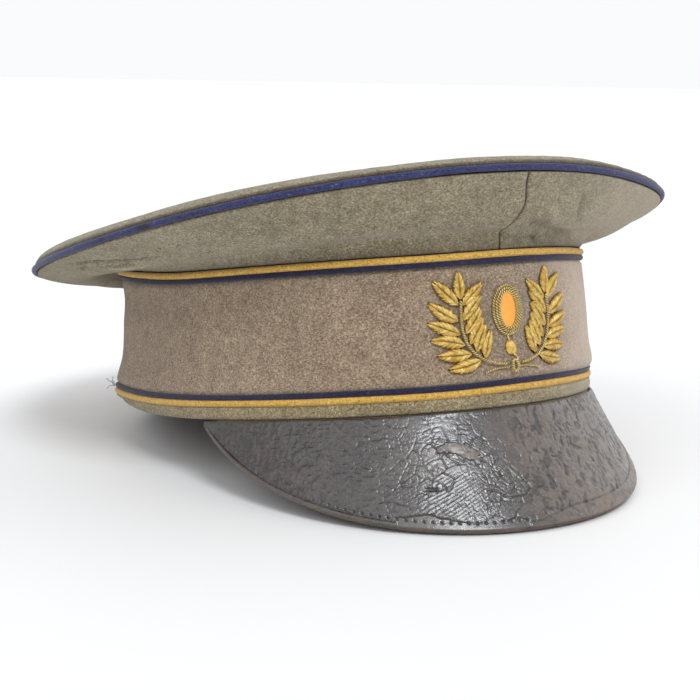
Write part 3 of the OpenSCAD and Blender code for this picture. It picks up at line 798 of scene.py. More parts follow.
def build_pipings():
    cord_ring("crown_piping_cord", "crown_piping", rim_cord_line, CORD / 2, 0.08, 21, rubbed_at=-64)
    # Name, height, radius of the CAD's cord, how far it is sunk, and how much fatter the real one is
    pipings = [("top_gold", top_z, CORD / 2, 0.0, 1.06),
               ("top_navy", lambda t: top_z(t) - NAVY_DROP, THIN_CORD / 2, 0.35, 1.08),
               ("low_navy", lambda t: LOW_NAVY_Z, THIN_CORD / 2, 0.15, 1.08),
               ("low_gold", lambda t: LOW_GOLD_Z, CORD / 2, 0.0, 1.06)]
    for i, (name, z, radius, sunk, fatter) in enumerate(pipings):
        line = band_cord_line(z, -radius - sunk)
        cord_ring(name + "_cord", "band_piping_" + name, line, radius * fatter, 0.05, 31 + i)


# ---- Band ----

def build_band_cloth():
    low = LOW_NAVY_Z + THIN_CORD / 2 - 0.35
    t, k = grid_of(T_ROUND, np.linspace(0, 1, 64))
    z = mix(low, top_z(t) - NAVY_DROP - THIN_CORD / 2 + 0.3, k)
    outer = band_at(t, z, -CORD / 2, 1.0)
    turned = 0.9 * (np.exp(-(k * 40 / 1.1) ** 2) + np.exp(-((1 - k) * 40 / 1.1) ** 2))
    soft = 0.25 * noise(outer, 38, 51) + 0.10 * noise(outer, 14, 52) + 0.045 * fbm(outer, 3.0, 2, 53)
    outer = outer + base_normal(t) * (soft * np.sin(np.pi * k) ** 0.5 - turned)[..., None]
    inner = band_at(t, z, -CORD / 2 - CLOTH)
    inner = inner - base_normal(t) * np.maximum(0, turned - 0.5)[..., None]
    # Lighter on the wearer's left front: a painted highlight.
    colours = {"stain_and_shade": stains(outer, 61, 42, 0.25), "painted_highlight": lit_side(outer)}
    thing = shell("band_cloth_felt", outer, inner, True, colours)
    return sheet(finish_piece(thing, "band_cloth"))


def build_base_strip():
    # Heights and places of the strip's face, from inside the turned lower edge up to the piping
    path = np.array([(0.9, -2.6), (0.35, -2.5), (0.05, -2.0), (0.0, -1.5), (0.35, -0.95), (1.2, -0.62),
                     (2.4, -0.5), (3.4, -0.55), (4.2, -0.85), (4.6, -1.4)])
    k = np.linspace(0, len(path) - 1, 34)
    z = np.interp(k, np.arange(len(path)), path[:, 0])
    off = np.interp(k, np.arange(len(path)), path[:, 1])
    inner_z = np.clip(z, 0.9, None)
    t, zz = grid_of(T_ROUND, z)
    curl = bump(np.degrees(turn_from_front(t)), 116, 26) * (1 - smooth((zz - 0.4) / 4.2))
    off = np.broadcast_to(off, t.shape) - 2.4 * curl
    x, y = base_at(t, off)
    outer = xyz(x, y, zz + 0.9 * curl)
    wavy = 0.12 * noise(outer, 20, 81) + 0.05 * fbm(outer, 3, 2, 82)
    outer = outer + base_normal(t) * wavy[..., None]
    outer[..., 2] = np.maximum(outer[..., 2] + 0.05 * noise(outer, 15, 84) * (zz > 1), 0.0)
    x, y = base_at(t, np.minimum(off - 0.9, -2.3))
    inner = xyz(x, y, np.broadcast_to(inner_z, t.shape) + 1.1 * curl)
    # Lighter on the wearer's left front: a painted highlight.
    colours = {"stain_and_shade": stains(outer, 91, 26, 0.5), "painted_highlight": 0.7 * lit_side(outer)}
    thing = shell("base_strip_cloth", outer, inner, True, colours)
    return sheet(finish_piece(thing, "base_strip"))


def build_stiffener():
    t, z = grid_of(T_ROUND[::4], np.linspace(2, 48.6, 16))
    z = z * top_z(t) / BAND_H
    out = -CORD / 2 - CLOTH - 0.2
    outer, inner = band_at(t, z, out), band_at(t, z, out - CARD)
    return sheet(finish_piece(shell("band_stiffener_hoop", outer, inner), "band_stiffener"))


def build_loose_threads():
    """A few frayed ends at the join of the lower piping, on the wearer's right."""
    q = np.linspace(0, 1, 16)
    start = xyz(*base_at(np.radians(-113.0), -0.2), 7.2)
    ends = [(-3.4, 0.6, 3.2, 0.9), (-2.2, -1.6, 2.2, -1.1), (-2.8, 1.4, -0.8, 0.8), (-1.4, -1.0, 3.6, 0.5)]
    lines = []
    for x, y, z, swing in ends:
        line = start + np.outer(q, (x, y, z)) + np.outer(np.sin(3.1 * q), (0, swing, 0.6 * swing))
        lines.append(line + xyz(0.3 * np.sin(9 * q), 0.2 * np.cos(7 * q), 0))
    finish_piece(tubes("band_loose_threads", np.array(lines), 0.09, 6), "band_piping_low_navy")


# ---- Inside ----

SWEAT_OUT = -CORD / 2 - CLOTH - CARD * 2 - 0.5
SWEAT_H = 37


def build_sweatband():
    t, k = grid_of(T_ROUND, np.linspace(0, 1, 40))
    z = 0.4 + SWEAT_H * k
    face = band_at(t, z, SWEAT_OUT - LEATHER)
    mm = xyz(t * BAND_R, z, 0)
    wrinkle = 0.35 * noise(mm * np.array([1, 0.25, 1]), 7, 101) * smooth(k * 2) + 0.4 * noise(face, 30, 102)
    lean = 0.9 * k ** 3
    inward = -base_normal(t)
    inner = face + inward * (wrinkle * k + lean + 0.25 * bump(k, 0.985, 0.02))[..., None]
    outer = inner - inward * LEATHER
    near, second, _ = cells(xyz(t * BAND_R, z * 0.6, 0), 3.4, 103)
    colours = {"crack_and_shade": np.exp(-((second - near) / 0.05) ** 2) * 0.35 * (noise(face, 14, 104) > -0.1),
               "worn": smooth((noise(face, 26, 105) + 0.2) * 0.9) * 0.6 * (1 - k * 0.4)}
    leather_band = finish_piece(shell("sweatband_leather", outer, inner, True, colours), "sweatband")
    sheet(leather_band, pieces=[build_sweatband_thread(), build_bow()])


def build_sweatband_thread():
    """Running stitches along the lower edge, as threads lying on the leather."""
    count, length = 150, 2.1
    middle = (np.arange(count) + 0.5) * 2 * np.pi / count
    q = np.linspace(-0.5, 0.5, 6)
    tt = middle[:, None] + q[None, :] * length / BAND_R
    line = band_at(tt, 2.4, SWEAT_OUT - LEATHER)
    lift = 0.22 - 0.5 * (2 * np.abs(q)) ** 4
    line = line - base_normal(tt) * lift[None, :, None]
    return finish_piece(tubes("sweatband_thread", line, 0.24, 6), "sweatband_stitching")


def build_canvas():
    s = np.linspace(0.975, 0.03, 40)
    t, ss = grid_of(T_ROUND[::3], s)
    plain = crown_at(t, ss)
    normal = surface_normals(plain)
    face = plain + normal * (crown_lift(t, ss, plain) - CLOTH - 0.15)[..., None]
    back = face - normal * 0.6
    thing = disc_shell("crown_canvas", face, back)
    sheet(finish_piece(thing, "crown_interlining"))


def build_wire():
    """The ring of wire in the rim, and the sleeve that joins its ends."""
    a = np.linspace(0, 2 * np.pi, 400, endpoint=False)
    wire = xyz(*rim_at(a, -6.2), rim_z(a) + 1.7)
    finish_piece(tubes("crown_rim_wire", wire[None], 1.0, 12, True), "crown_wire")
    along = np.linspace(-7.5, 7.5, 24)
    a = np.pi + along / RIM_W
    sleeve = xyz(*rim_at(a, -6.2), rim_z(a) + 1.7)
    waist = 1.55 - 0.22 * bump(along, -4, 0.8) - 0.22 * bump(along, 4, 0.8)
    finish_piece(tubes("wire_join_sleeve", sleeve[None], waist[None], 16), "wire_ferrule")


def build_stay():
    t, u = grid_of(np.linspace(-4.5, 4.5, 12) / TOP_W, np.linspace(0, 0.88, 30))
    mid, normal = side_at(t, u)
    inside = -(CLOTH / 2 + 0.9)
    face, back = mid + normal * inside, mid + normal * (inside - CARD)
    finish_piece(shell("front_stay_strip", face, back, False), "front_stay")


def build_board():
    """The stiff board in the visor, with its flange turned up behind the band."""
    t, k = grid_of(np.linspace(-0.97, 0.97, 240) * VISOR_END, np.linspace(0, 1, 24))
    w = mix(0.8, np.maximum(visor_edge(t) - 1.4, 1.0), k)
    board_top, board_low = visor_at(t, w, -1.05), visor_at(t, w, -2.3)
    flange = np.linspace(5.5, 0.6, 8)
    tf, zf = grid_of(t[:, 0], flange)
    stay_out = -CORD / 2 - CLOTH - CARD - 0.35
    inner = xyz(*base_at(tf, stay_out - 0.65), zf)
    outer = xyz(*base_at(tf, stay_out), zf)
    below, above = np.concatenate([inner, board_low], 1), np.concatenate([outer, board_top], 1)
    thing = shell("visor_stiff_board", below, above, False)
    finish_piece(thing, "visor_board")


def build_bow():
    """A flat ribbon bow: two loops, a knot and two short tails."""
    centre = band_at(np.array([np.pi]), 9.0, SWEAT_OUT - LEATHER)[0] + np.array([0, -1.9, 0])
    width, thick = 4.6, 0.35
    paths = []
    for side in (-1, 1):
        a = np.linspace(0, 2 * np.pi, 40)
        x = side * (1.2 + 6.4 * (1 - np.cos(a)))
        y = 0.95 * np.sin(a) * (0.35 + 0.65 * (1 - np.cos(a)) / 2)
        paths.append((x, y, np.zeros_like(a), width * (0.55 + 0.45 * np.sin(a / 2))))
        k = np.linspace(0, 1, 14)
        tail = (side * (0.6 + 8.5 * k), -0.3 - 0.3 * np.sin(6 * k), -1.2 - 4.2 * k)
        paths.append((*tail, width * (0.6 + 0.35 * k)))
    a = np.linspace(0, 2 * np.pi, 30)
    paths.append((1.5 * np.cos(a), 1.25 * np.sin(a), np.zeros_like(a), np.full_like(a, 3.6)))
    verts, quads, start = [], [], 0
    for x, y, z, w in paths:
        line = np.stack([x, y, z], -1)
        along = unit(np.gradient(line, axis=0))
        face = unit(np.cross(along, np.array([0.0, 0, 1.0])))
        across = np.cross(face, along)
        corners = [line + across * (w / 2)[:, None] * c + face * thick / 2 * d
                   for c, d in ((-1, -1), (0, -1.3), (1, -1), (1, 1), (0, 1.3), (-1, 1))]
        ring = np.stack(corners, 1)
        verts.append(ring.reshape(-1, 3) + centre)
        quads.append(grid_quads(len(line), 6, start, False, True))
        ends = [start + np.array([0, 1, 4, 5]), start + np.array([1, 2, 3, 4])]
        last = start + (len(line) - 1) * 6
        ends += [last + np.array([5, 4, 1, 0]), last + np.array([4, 3, 2, 1])]
        quads.append(np.array(ends))
        start += ring.shape[0] * 6
    thing = make_mesh("sweatband_ribbon_bow", np.concatenate(verts), np.concatenate(quads))
    return finish_piece(thing, "sweatband_bow")


def lining_flare(t):
    return smooth((120 - np.degrees(turn_from_front(t))) / 80)


def lining_point(t, k, drop):
    top = np.hypot(*top_at(t, SWEAT_OUT - 1))
    reach = mix(top / np.hypot(*rim_at(t)), 0.88, lining_flare(t))
    return crown_at(t, k * reach, CLOTH + 2.75 + drop)


def build_lining_side():
    t, k = grid_of(T_ROUND, np.linspace(0, 1, 36))
    flare = smooth(2 * lining_flare(t))
    foot_z = top_z(t) + mix(-1.5, 2.5, flare)
    low = band_at(t, mix(26.0, foot_z, np.clip(k / 0.5, 0, 1)), SWEAT_OUT + 0.1)
    head = lining_point(t, 1.0, LINING + 0.15)
    foot = band_at(t, foot_z, SWEAT_OUT)
    high = mix(foot, head, np.clip((k - 0.5) / 0.5, 0, 1)[..., None])
    face = np.where((k < 0.5)[..., None], low, high)
    mm = t * BAND_R
    pleats = 0.22 * np.sin(mm * 2 * np.pi / 5.5 + 1.5 * noise(xyz(mm, 0, 0), 12, 111))
    pleats = pleats * smooth((k - 0.55) / 0.4)
    soft = (0.4 * noise(face, 30, 112) + 0.2 * noise(face, 9, 113)) * smooth((k - 0.45) * 4)
    swell = np.sin(np.pi * np.clip((k - 0.5) / 0.5, 0, 1))
    soft = soft + 2.0 * swell * (1 - smooth((turn_from_front(t) - 2.0) / 0.8))
    face = face - base_normal(t) * (np.abs(pleats) + soft * 0.6 + 0.4)[..., None]
    thing = shell("lining_side_cloth", face + base_normal(t) * LINING, face, True)
    sheet(finish_piece(thing, "lining_side"))


def build_lining_top():
    s = np.concatenate([np.linspace(1, 0.9, 10)[:-1], np.linspace(0.9, 0.03, 40)])
    t, ss = grid_of(T_ROUND, s)
    under = lining_point(t, ss, LINING)
    sagging = 0.9 * (1 - ss ** 2) + 0.5 * noise(under, 34, 114) + 0.18 * noise(under, 11, 115)
    pleats = 0.25 * np.abs(np.sin(t * 45)) * smooth((ss - 0.75) / 0.25)
    under = under - xyz(0, 0, sagging * smooth((1 - ss) / 0.05) + pleats)
    under[..., 2] = mix(under[:, -1, 2].mean(), under[..., 2], smooth(ss / 0.2))
    top = under + xyz(0, 0, LINING)
    thing = disc_shell("lining_top_cloth", top, under)
    sheet(finish_piece(thing, "lining_top"))


# ---- Visor ----

VISOR_END = 0.985 * VISOR_REACH
ARC = 1.5  # mm of visor for each degree of t
STITCH_PITCH = 2.75
RIM_PER_ROOT = 1.22  # how much longer the visor is along its stitches than along the band


def visor_steps(count):
    """Angles from end to end of the visor, closer together towards its pointed ends."""
    side = np.linspace(-1, 1, count)
    return VISOR_END * np.sign(side) * (1 - (1 - np.abs(side)) ** 1.25)


def visor_skin(a, w):
    """Height of the visor's crazed skin in mm, and how cracked and how worn it is."""
    place = xyz(a, w, 0)
    warp = place + 1.1 * xyz(noise(place, 4, 201), noise(place, 4, 202), 0)
    middle = bump(a, -24, 22) * smooth((w - 3) / 7)
    left = smooth((-a - 34) / 16)
    right = smooth((a + 12) / 16)
    # Polygon crazing, strongest in the middle, with a finer net inside it
    near, second, own = cells(warp, 4.4, 203)
    gap = (second - near) * 4.4
    near, second, _ = cells(warp, 2.1, 204)
    fine_gap = (second - near) * 2.1
    craze = np.exp(-(gap / 0.25) ** 2) * smooth(noise(place, 7, 214) * 2 + 1.3)
    fine = np.exp(-(fine_gap / 0.20) ** 2) * smooth(noise(place, 5, 215) * 2.4 + 0.7)
    curl = np.exp(-((gap - 0.5) / 0.28) ** 2) * (0.5 + own)
    # Fine slanting hairlines below the crazing
    slant = (a * 0.62 + w * 1.05) + 0.9 * noise(place, 9, 205)
    hair = np.exp(-((np.abs((slant / 1.35) % 1 - 0.5) * 1.35 - 0.62) / 0.11) ** 2)
    hair = hair * bump(a, -24, 17) * smooth((w - 19) / 5)
    # Creased folds on the wearer's left, short wrinkles on the wearer's right
    run = xyz(a + 0.25 * w + 1.2 * noise(place, 4, 206),
                 w * 0.52 - 0.2 * a + 1.2 * noise(place, 3, 217), 0)
    folds = 1 - 2.6 * np.abs(noise(run, 1.7, 207)) + 0.6 * noise(warp, 1.1, 208)
    wrinkles = 1 - 2.6 * np.abs(noise(xyz(a * 0.8, w * 1.1, 0) + warp * 0.15, 1.9, 209))
    wrinkles = wrinkles + 0.6 * noise(warp, 1.0, 210)
    height = (-0.20 * craze * (0.3 + 0.7 * middle) + 0.05 * curl * middle - 0.09 * fine
              - 0.11 * hair + 0.11 * folds * right + 0.065 * wrinkles * (0.15 + 0.85 * left)
              + 0.30 * noise(place, 18, 211) + 0.10 * noise(place, 7, 212)
              + 0.02 * noise(warp, 1.5, 216))
    crack_and_shade = (0.95 * craze * (0.35 + 0.65 * middle) + 0.8 * fine * (0.5 + 0.4 * middle) + 0.85 * hair
             + 0.6 * right * smooth(0.2 - folds * 1.3) + 0.4 * left * smooth(-wrinkles * 1.5 - 0.2))
    worn = right * (0.40 + 0.24 * smooth(folds)) + 0.16 * smooth(noise(place, 9, 213) * 1.4)
    worn = worn * (1 - 0.5 * left) + 0.14 * left * smooth(wrinkles - 0.35)
    return height, np.clip(crack_and_shade, 0, 1), np.clip(worn, 0, 0.8)


def bare_patch(a, w):
    """The bare patch near the visor's root: 1 inside. It is bean-shaped, its ends turned down."""
    turn = math.radians(16)
    a_off, w_off = a + 22.5, w - 13.6
    along = a_off * math.cos(turn) + w_off * math.sin(turn)
    across = w_off * math.cos(turn) - a_off * math.sin(turn) - 0.045 * along ** 2 + 0.6
    ragged = 0.5 * fbm(xyz(a, w, 0), 3.0, 2, 221) + 0.25 * noise(xyz(a, w, 0), 0.9, 222)
    thin = 3.1 - 0.9 * bump(along, -1.5, 3.0)
    return smooth((1.0 + ragged - (along / 7.2) ** 2 - (across / thin) ** 2) * 2.2)


def flaked_width(a):
    """How far in from the visor's edge the finish has come off, by place along the edge."""
    lobes = 2.8 * bump(a, -34, 7.5) + 2.3 * bump(a, -17, 2.6) + 1.7 * bump(a, -10.5, 2.2)
    ends = smooth((a + 43) / 2) * smooth((-6.5 - a) / 1.5)
    return (2.5 + lobes + 0.4 * noise(xyz(a, 0, 0), 1.8, 231)) * ends - 2 * (1 - ends)


# The outline of a lifted chip of finish: places on the visor as (degrees round, mm from the band)
CHIP = [(-5, 21), (-3.6, 25), (-2.6, 28.5), (-4.5, 31), (-7.5, 31.2), (-9.5, 28.2), (-11.2, 28.2),
        (-11.0, 31.5)]


def chip_line(a, w):
    """1 on the chip's outline, and how high its lifted side stands."""
    place = xyz(a + 0.5 * noise(xyz(a, w, 0), 1.6, 233), w, 0)
    nearest = np.full(a.shape, 99.0)
    for (a0, w0), (a1, w1) in zip(CHIP, CHIP[1:]):
        start, end = np.array([a0 * ARC, w0, 0]), np.array([a1 * ARC, w1, 0])
        nearest = np.minimum(nearest, from_line(start, end, place)[1])
    return np.exp(-(nearest / 0.24) ** 2), np.exp(-((nearest - 0.6) / 0.35) ** 2)


def visor_surface(a, w, edge):
    """The whole upper face: its height in mm, how cracked it is plus painted shade along its root, and how
    worn it is.
    """
    height, crack_and_shade, worn = visor_skin(a, w)
    place = xyz(a, w, 0)
    from_edge = edge - w
    in_from_flakes = flaked_width(a) - from_edge
    patch = bare_patch(a, w)
    flake = smooth(in_from_flakes / 0.3)
    outline = np.exp(-(in_from_flakes / 0.30) ** 2) * smooth((a + 44) / 2) * smooth((-5.5 - a) / 1.5)
    rim = np.clip(patch * (1 - patch) * 4.5, 0, 1) * smooth(1.2 + 2 * noise(place, 2.2, 235))
    chip, lifted = chip_line(a, w)
    # The turned edge of the binding: narrow on the wearer's right, wide on the left
    line_at = mix(2.1, BINDING - 0.2, smooth((a + 6) / 14))
    band = smooth((line_at - from_edge) / 0.4) * (1 - flake) * smooth(edge / 9)
    line = bump(from_edge, line_at, 0.26) * (1 - flake) * smooth(edge / 9)
    line = line * (0.35 + 0.65 * smooth(np.abs(a + 24) / 12 - 1))
    height = height * (1 - 0.75 * patch) * (1 - 0.85 * flake) * (1 - 0.5 * band)
    height = height * (smooth(edge / 14) * smooth(w / 1.5))
    mottle = noise(place, 1.5, 234)
    height = height - (0.30 - 0.08 * mottle) * patch - 0.26 * flake + 0.16 * bump(flake, 0.06, 0.06)
    height = height - 0.15 * rim
    height = height + 0.22 * band * smooth((a + 6) / 14) - 0.24 * line - 0.26 * chip + 0.09 * lifted
    height = height - 0.40 * smooth(1 - from_edge / 0.9)
    # Stitch holes in a row near the edge
    hole_a = np.abs((a * RIM_PER_ROOT / STITCH_PITCH) % 1 - 0.5) * STITCH_PITCH
    hole = np.exp(-(((hole_a / 0.42) ** 2 + ((from_edge - 3.0) / 0.42) ** 2) ** 2)) * smooth(edge / 9)
    hole = hole * smooth((-3 - a) / 4) * (0.45 + 0.55 * smooth((a + 62) / 10))
    slit = np.exp(-(((a + 32) / 2.0) ** 2 + ((w - 26 - 0.1 * (a + 32)) / 0.5) ** 2))
    height = height - 0.5 * hole - 0.5 * slit
    crack_and_shade = crack_and_shade * (1 - 0.8 * patch) * (1 - 0.95 * flake) * (1 - 0.4 * band)
    # Painted shade: a dark strip along the root, where the visor meets the band.
    root = np.exp(-(w / 0.9) ** 2)
    crack_and_shade = crack_and_shade + outline + 0.75 * rim + hole + slit + 0.55 * line + 0.95 * chip + 0.8 * root
    brown = smooth((a - 4) / 20) * (0.35 + 0.4 * noise(place, 2.5, 232))
    worn = worn * (1 - np.maximum(patch, flake)) + 0.75 * patch * (0.75 + 0.4 * mottle) + 0.12 * flake
    worn = worn + 0.45 * smooth(1 - from_edge / 1.3) + 0.25 * band * smooth((-a - 50) / 20)
    worn = worn + band * brown + 0.18 * lifted
    return height, np.clip(crack_and_shade, 0, 1), np.clip(worn, 0, 1)


def build_visor_leather():
    t, q = grid_of(visor_steps(1100), np.linspace(0, 1, 140))
    edge = visor_edge(t)
    w = mix(0.3, edge - 0.35, q)
    a = np.degrees(t) * ARC
    height, crack_and_shade, worn = visor_surface(a, w, edge)
    outer = visor_at(t, w, height)
    inner = visor_at(t, np.minimum(w, edge - 0.9), -0.9)
    colours = {"crack_and_shade": crack_and_shade, "worn": worn, "dull": 0.85 * smooth((-a - 36) / 18)}
    thing = shell("visor_top_leather", outer, inner, False, colours)
    sheet(finish_piece(thing, "visor_leather"))


def build_visor_binding():
    """A rounded lip round the visor's layers, and a turned-under strip below."""
    angle = np.linspace(math.radians(52), math.radians(-90), 16)
    half = (VISOR_THICK + 0.4) / 2
    tip_w = -1.15 + np.cos(angle)
    tip_h = -half + 0.05 + half * np.sin(angle)
    under = np.linspace(0, 1, 10)[1:]
    t = visor_steps(500)[:, None]
    edge, width = visor_edge(t), binding_at(t)
    w_lip = edge + tip_w
    w_under = edge - 1.15 - (width - 1.15) * under
    w = np.concatenate([w_lip, w_under], 1)
    h = np.broadcast_to(np.append(tip_h, np.full(len(under), -VISOR_THICK - 0.35)), w.shape)
    spot = xyz(np.degrees(t) * ARC, w, 0)
    rough = np.clip(0.07 * noise(spot, 1.6, 241) + 0.10 * noise(spot, 6, 242), -0.2, 0.2)
    t = np.broadcast_to(t, w.shape)
    outer = visor_at(t, w, h + rough)
    inner_w = np.concatenate([np.minimum(w_lip, edge - 1.0), w_under], 1)
    inner_h = np.append(np.clip(tip_h * 0.8 - 0.3, -VISOR_THICK, -0.9), np.full(len(under), -VISOR_THICK))
    inner = visor_at(t, inner_w, inner_h)
    worn = 0.35 + 0.4 * noise(spot, 4, 243) + 0.35 * smooth((np.degrees(t) - 8) / 12)
    colours = {"crack_and_shade": 0.5 * smooth(noise(spot, 2.2, 244) * 2 - 1), "worn": np.clip(worn, 0, 0.9)}
    thing = shell("visor_edge_binding", inner, outer, False, colours)
    sheet(finish_piece(thing, "visor_binding"))


def build_visor_underside():
    t, q = grid_of(np.linspace(-VISOR_END, VISOR_END, 300), np.linspace(0, 1, 40))
    edge = visor_edge(t)
    w = np.minimum(mix(2.0, edge - 0.9, q), np.maximum(edge - 0.9, 1.0))
    spot = xyz(np.degrees(t) * ARC, w, 0)
    low = -VISOR_THICK + 0.2
    face = visor_at(t, w, low - 0.25 + 0.10 * noise(spot, 8, 251) + 0.05 * noise(spot, 2, 252))
    back = visor_at(t, w, low + 0.35)
    colours = {"crack_and_shade": 0.3 * smooth(noise(spot, 5, 253)), "worn": 0.5 * smooth(noise(spot, 12, 254))}
    thing = shell("visor_under_leather", back, face, False, colours)
    sheet(finish_piece(thing, "visor_lining"))


def build_visor_thread():
    """Thread of the edge stitching, lying under the visor's edge."""
    step = STITCH_PITCH / RIM_PER_ROOT / ARC
    count = int(2 * 0.9 * math.degrees(VISOR_REACH) / step)
    middle = np.radians((np.arange(count) - count / 2) * step)
    q = np.linspace(-0.36, 0.36, 5)
    tt = middle[:, None] + np.radians(q * step)[None, :]
    off = visor_edge(tt) - np.minimum(3.4, 0.6 * visor_edge(tt))
    line = visor_at(tt, off, -VISOR_THICK - 0.42 - 0.15 * (1 - (q / q[-1]) ** 2))
    finish_piece(tubes("visor_thread", line, 0.26, 6), "visor_stitching")


# ---- Badge ----

def front_at(x, z, out):
    """A point on the band's front: x and z in mm on the cloth, out above it."""
    x, z, out = np.broadcast_arrays(np.asarray(x, float), np.asarray(z, float), np.asarray(out, float))
    t = np.radians((x + BADGE_SHIFT) / FRONT_PITCH)
    return band_at(t, z, -CORD / 2, 1.0) + base_normal(t) * (out + 0.05)[..., None]


def branch_at(k, side):
    a, b, c = np.array([1.5, 13.5]), np.array([20, 14]), np.array([17, 35])
    k = np.asarray(k, float)[..., None]
    p = (1 - k) ** 2 * a + 2 * k * (1 - k) * b + k * k * c
    return p * np.array([side, 1])


LEAF_REACH = [0, 0.15, 0.4, 0.62, 0.85, 1.0]  # shares of a leaf's length that its widths are given at


def leaf_threads(foot, angle, side, length, width, seed):
    """Centre lines of the gimp threads of one leaf, laid from its midrib to its edge."""
    along = np.array([side * math.cos(angle), math.sin(angle)])
    over = np.array([-along[1], along[0]])
    count = int(length / 0.72)
    k = np.linspace(0.02, 0.80, count)
    q = np.linspace(0, 1, 7)
    lines = []
    for half in (-1, 1):
        for i, k0 in enumerate(k):
            reach = k0 + (0.16 + 0.06 * (1 - k0)) * q
            wide = np.interp(reach, LEAF_REACH, [0.15, 0.62, 1.0, 0.92, 0.48, 0.05])
            jag = 1 + 0.10 * math.sin(i * 2.4 + seed)
            off = half * width / 2 * wide * q * jag
            # A gentle curve along the leaf, as if it were drawn by hand
            bend = 0.5 * math.sin(seed * 1.7) * np.sin(np.pi * reach) * (width / 4)
            flat = np.asarray(foot) + np.outer(reach * length, along) + np.outer(off + bend, over)
            pad = 1.05 * np.sin(np.pi * np.clip(reach, 0.03, 0.97)) ** 0.5
            height = 0.25 + pad * np.interp(q, [0, 0.3, 0.7, 1.0], [0.62, 1.0, 0.78, 0.02])
            lines.append(front_at(flat[:, 0], flat[:, 1], height))
    return lines


def leaf_pad(foot, angle, side, length, width, seed):
    """The padding under one leaf's threads, as grid points [round, rings, 3]."""
    along = np.array([side * math.cos(angle), math.sin(angle)])
    over = np.array([-along[1], along[0]])
    a = np.linspace(0, 2 * np.pi, 28, endpoint=False)
    k = 0.5 - 0.5 * np.cos(a)
    wide = np.interp(k, LEAF_REACH, [0.15, 0.55, 0.9, 0.82, 0.42, 0.0]) * np.sign(np.sin(a) + 1e-9)
    rings = []
    for grow, height in ((1, 0.02), (0.92, 0.4), (0.6, 0.85), (0.2, 0.95)):
        reach = 0.5 + (k - 0.5) * grow
        bend = 0.5 * math.sin(seed * 1.7) * np.sin(np.pi * reach) * (width / 4)
        off = wide * width / 2 * grow + bend
        flat = np.asarray(foot) + np.outer(reach * length, along) + np.outer(off, over)
        out = height * np.sin(np.pi * np.clip(k, 0.05, 0.95)) ** 0.4
        rings.append(front_at(flat[:, 0], flat[:, 1], out))
    return np.stack(rings, 1)


LEAF_PAIRS = 6
OVAL_Z = 31


def branch_leaves(side):
    """(foot, angle above the horizontal, side, length, width, seed) of every leaf of a branch."""
    leaves = []
    for i in range(LEAF_PAIRS):
        k = 0.3 + 0.66 * i / (LEAF_PAIRS - 1)
        foot = branch_at(k, side)
        share = i / (LEAF_PAIRS - 1)
        apart = [side * 0.5, 0]
        seed = i + 3 * side
        leaves.append((foot + apart, math.radians(-12 + 58 * share), side, 12.0, 4.3, seed))
        inner_length = 11.0 - 0.25 * abs(i - 4)
        leaves.append((foot - apart, math.radians(72 - 30 * share), -side, inner_length, 3.9, seed + 7))
    leaves.append((branch_at(1, side) + [0, 0.2], math.radians(86), side, 9.4, 4.1, 2))
    return leaves


def resample(path, step, closed=False):
    """The path's points, made evenly spaced."""
    if closed:
        path = np.concatenate([path, path[:1]])
    d = np.concatenate([[0], np.cumsum(np.linalg.norm(np.diff(path, axis=0), axis=1))])
    n = max(6, int(d[-1] / step))
    s = np.linspace(0, d[-1], n, endpoint=not closed)
    return np.stack([np.interp(s, d, path[:, i]) for i in range(3)], -1)


def front_facing(path):
    t = np.arctan2(path[:, 0] / BAND_W, -path[:, 1] / BAND_L)
    return base_normal(t)


def join_ropes(name, parts, node, closed=False):
    """Several ropes as one piece; each part is (path, radius, pitch, start)."""
    verts, quads, tris, shade_and_tone, count = [], [], [], [], 0
    for path, radius, pitch, start in parts:
        facing = front_facing(path)
        length = np.linalg.norm(np.diff(path, axis=0), axis=1).sum()
        lines = plies(path, facing, radius, max(2, round(length / pitch)), closed, start)
        some_verts, some_quads, some_tris = tube_parts(lines, radius * 0.52, 7, closed, facing[None])
        away = some_verts[:len(lines) * len(path) * 7].reshape(len(lines), len(path), 7, 3)
        away = np.linalg.norm(away - path[None, :, None], axis=-1)
        # Painted shade on each strand's side nearest the rope's axis, in the grooves.
        groove = 1 - smooth((away / radius - 0.78) / 0.26)
        shade_and_tone.append(np.append(groove, np.ones(len(some_verts) - groove.size)))
        verts.append(some_verts)
        quads.append(some_quads + count)
        tris.append(some_tris + count)
        count += len(some_verts)
    thing = make_mesh(name, np.concatenate(verts), np.concatenate(quads), np.concatenate(tris),
                      {"shade_and_tone": np.concatenate(shade_and_tone)})
    return finish_piece(thing, node)


THREADS_FACE = np.array([0.0, -1.0, 0.2])


def build_leaves():
    for side, node in ((1, "badge_leaves_left"), (-1, "badge_leaves_right")):
        threads, verts, quads, tris, start = [], [], [], [], 0
        for leaf in branch_leaves(side):
            threads += leaf_threads(*leaf)
            parts = capped(leaf_pad(*leaf), start)
            for group, part in zip((verts, quads, tris), parts):
                group.append(part)
            start += len(parts[0])
        # The padding under the threads is painted dark all over, as shade in the gaps between them.
        pads = make_mesh(node + "_padding", np.concatenate(verts), np.concatenate(quads),
                         np.concatenate(tris), {"shade_and_tone": np.ones(start)})
        finish_piece(pads, node)
        lines = np.array(threads)  # laid from the midrib outwards
        count = len(lines)
        tone = lattice(np.stack([np.arange(count), np.full(count, side), np.zeros(count, int)], -1), 301)
        # Painted shade on the sides of each thread where it meets the next, plus a random tone per thread;
        # the thread ends get a middle value.
        shade_and_tone = np.array([0.75, 0.25, 0, 0, 0, 0.15, 0.6])[None] + 0.35 * tone[:, None]
        thing = tubes(node + "_threads", lines, 0.31, 7, facing=THREADS_FACE)
        thing.data.attributes.new("shade_and_tone", "FLOAT", "POINT")
        values = np.append(np.repeat(np.clip(shade_and_tone, 0, 1), 7, axis=1), np.full(2 * count, 0.4))
        thing.data.attributes["shade_and_tone"].data.foreach_set("value", values.astype(np.float32))
        finish_piece(thing, node)


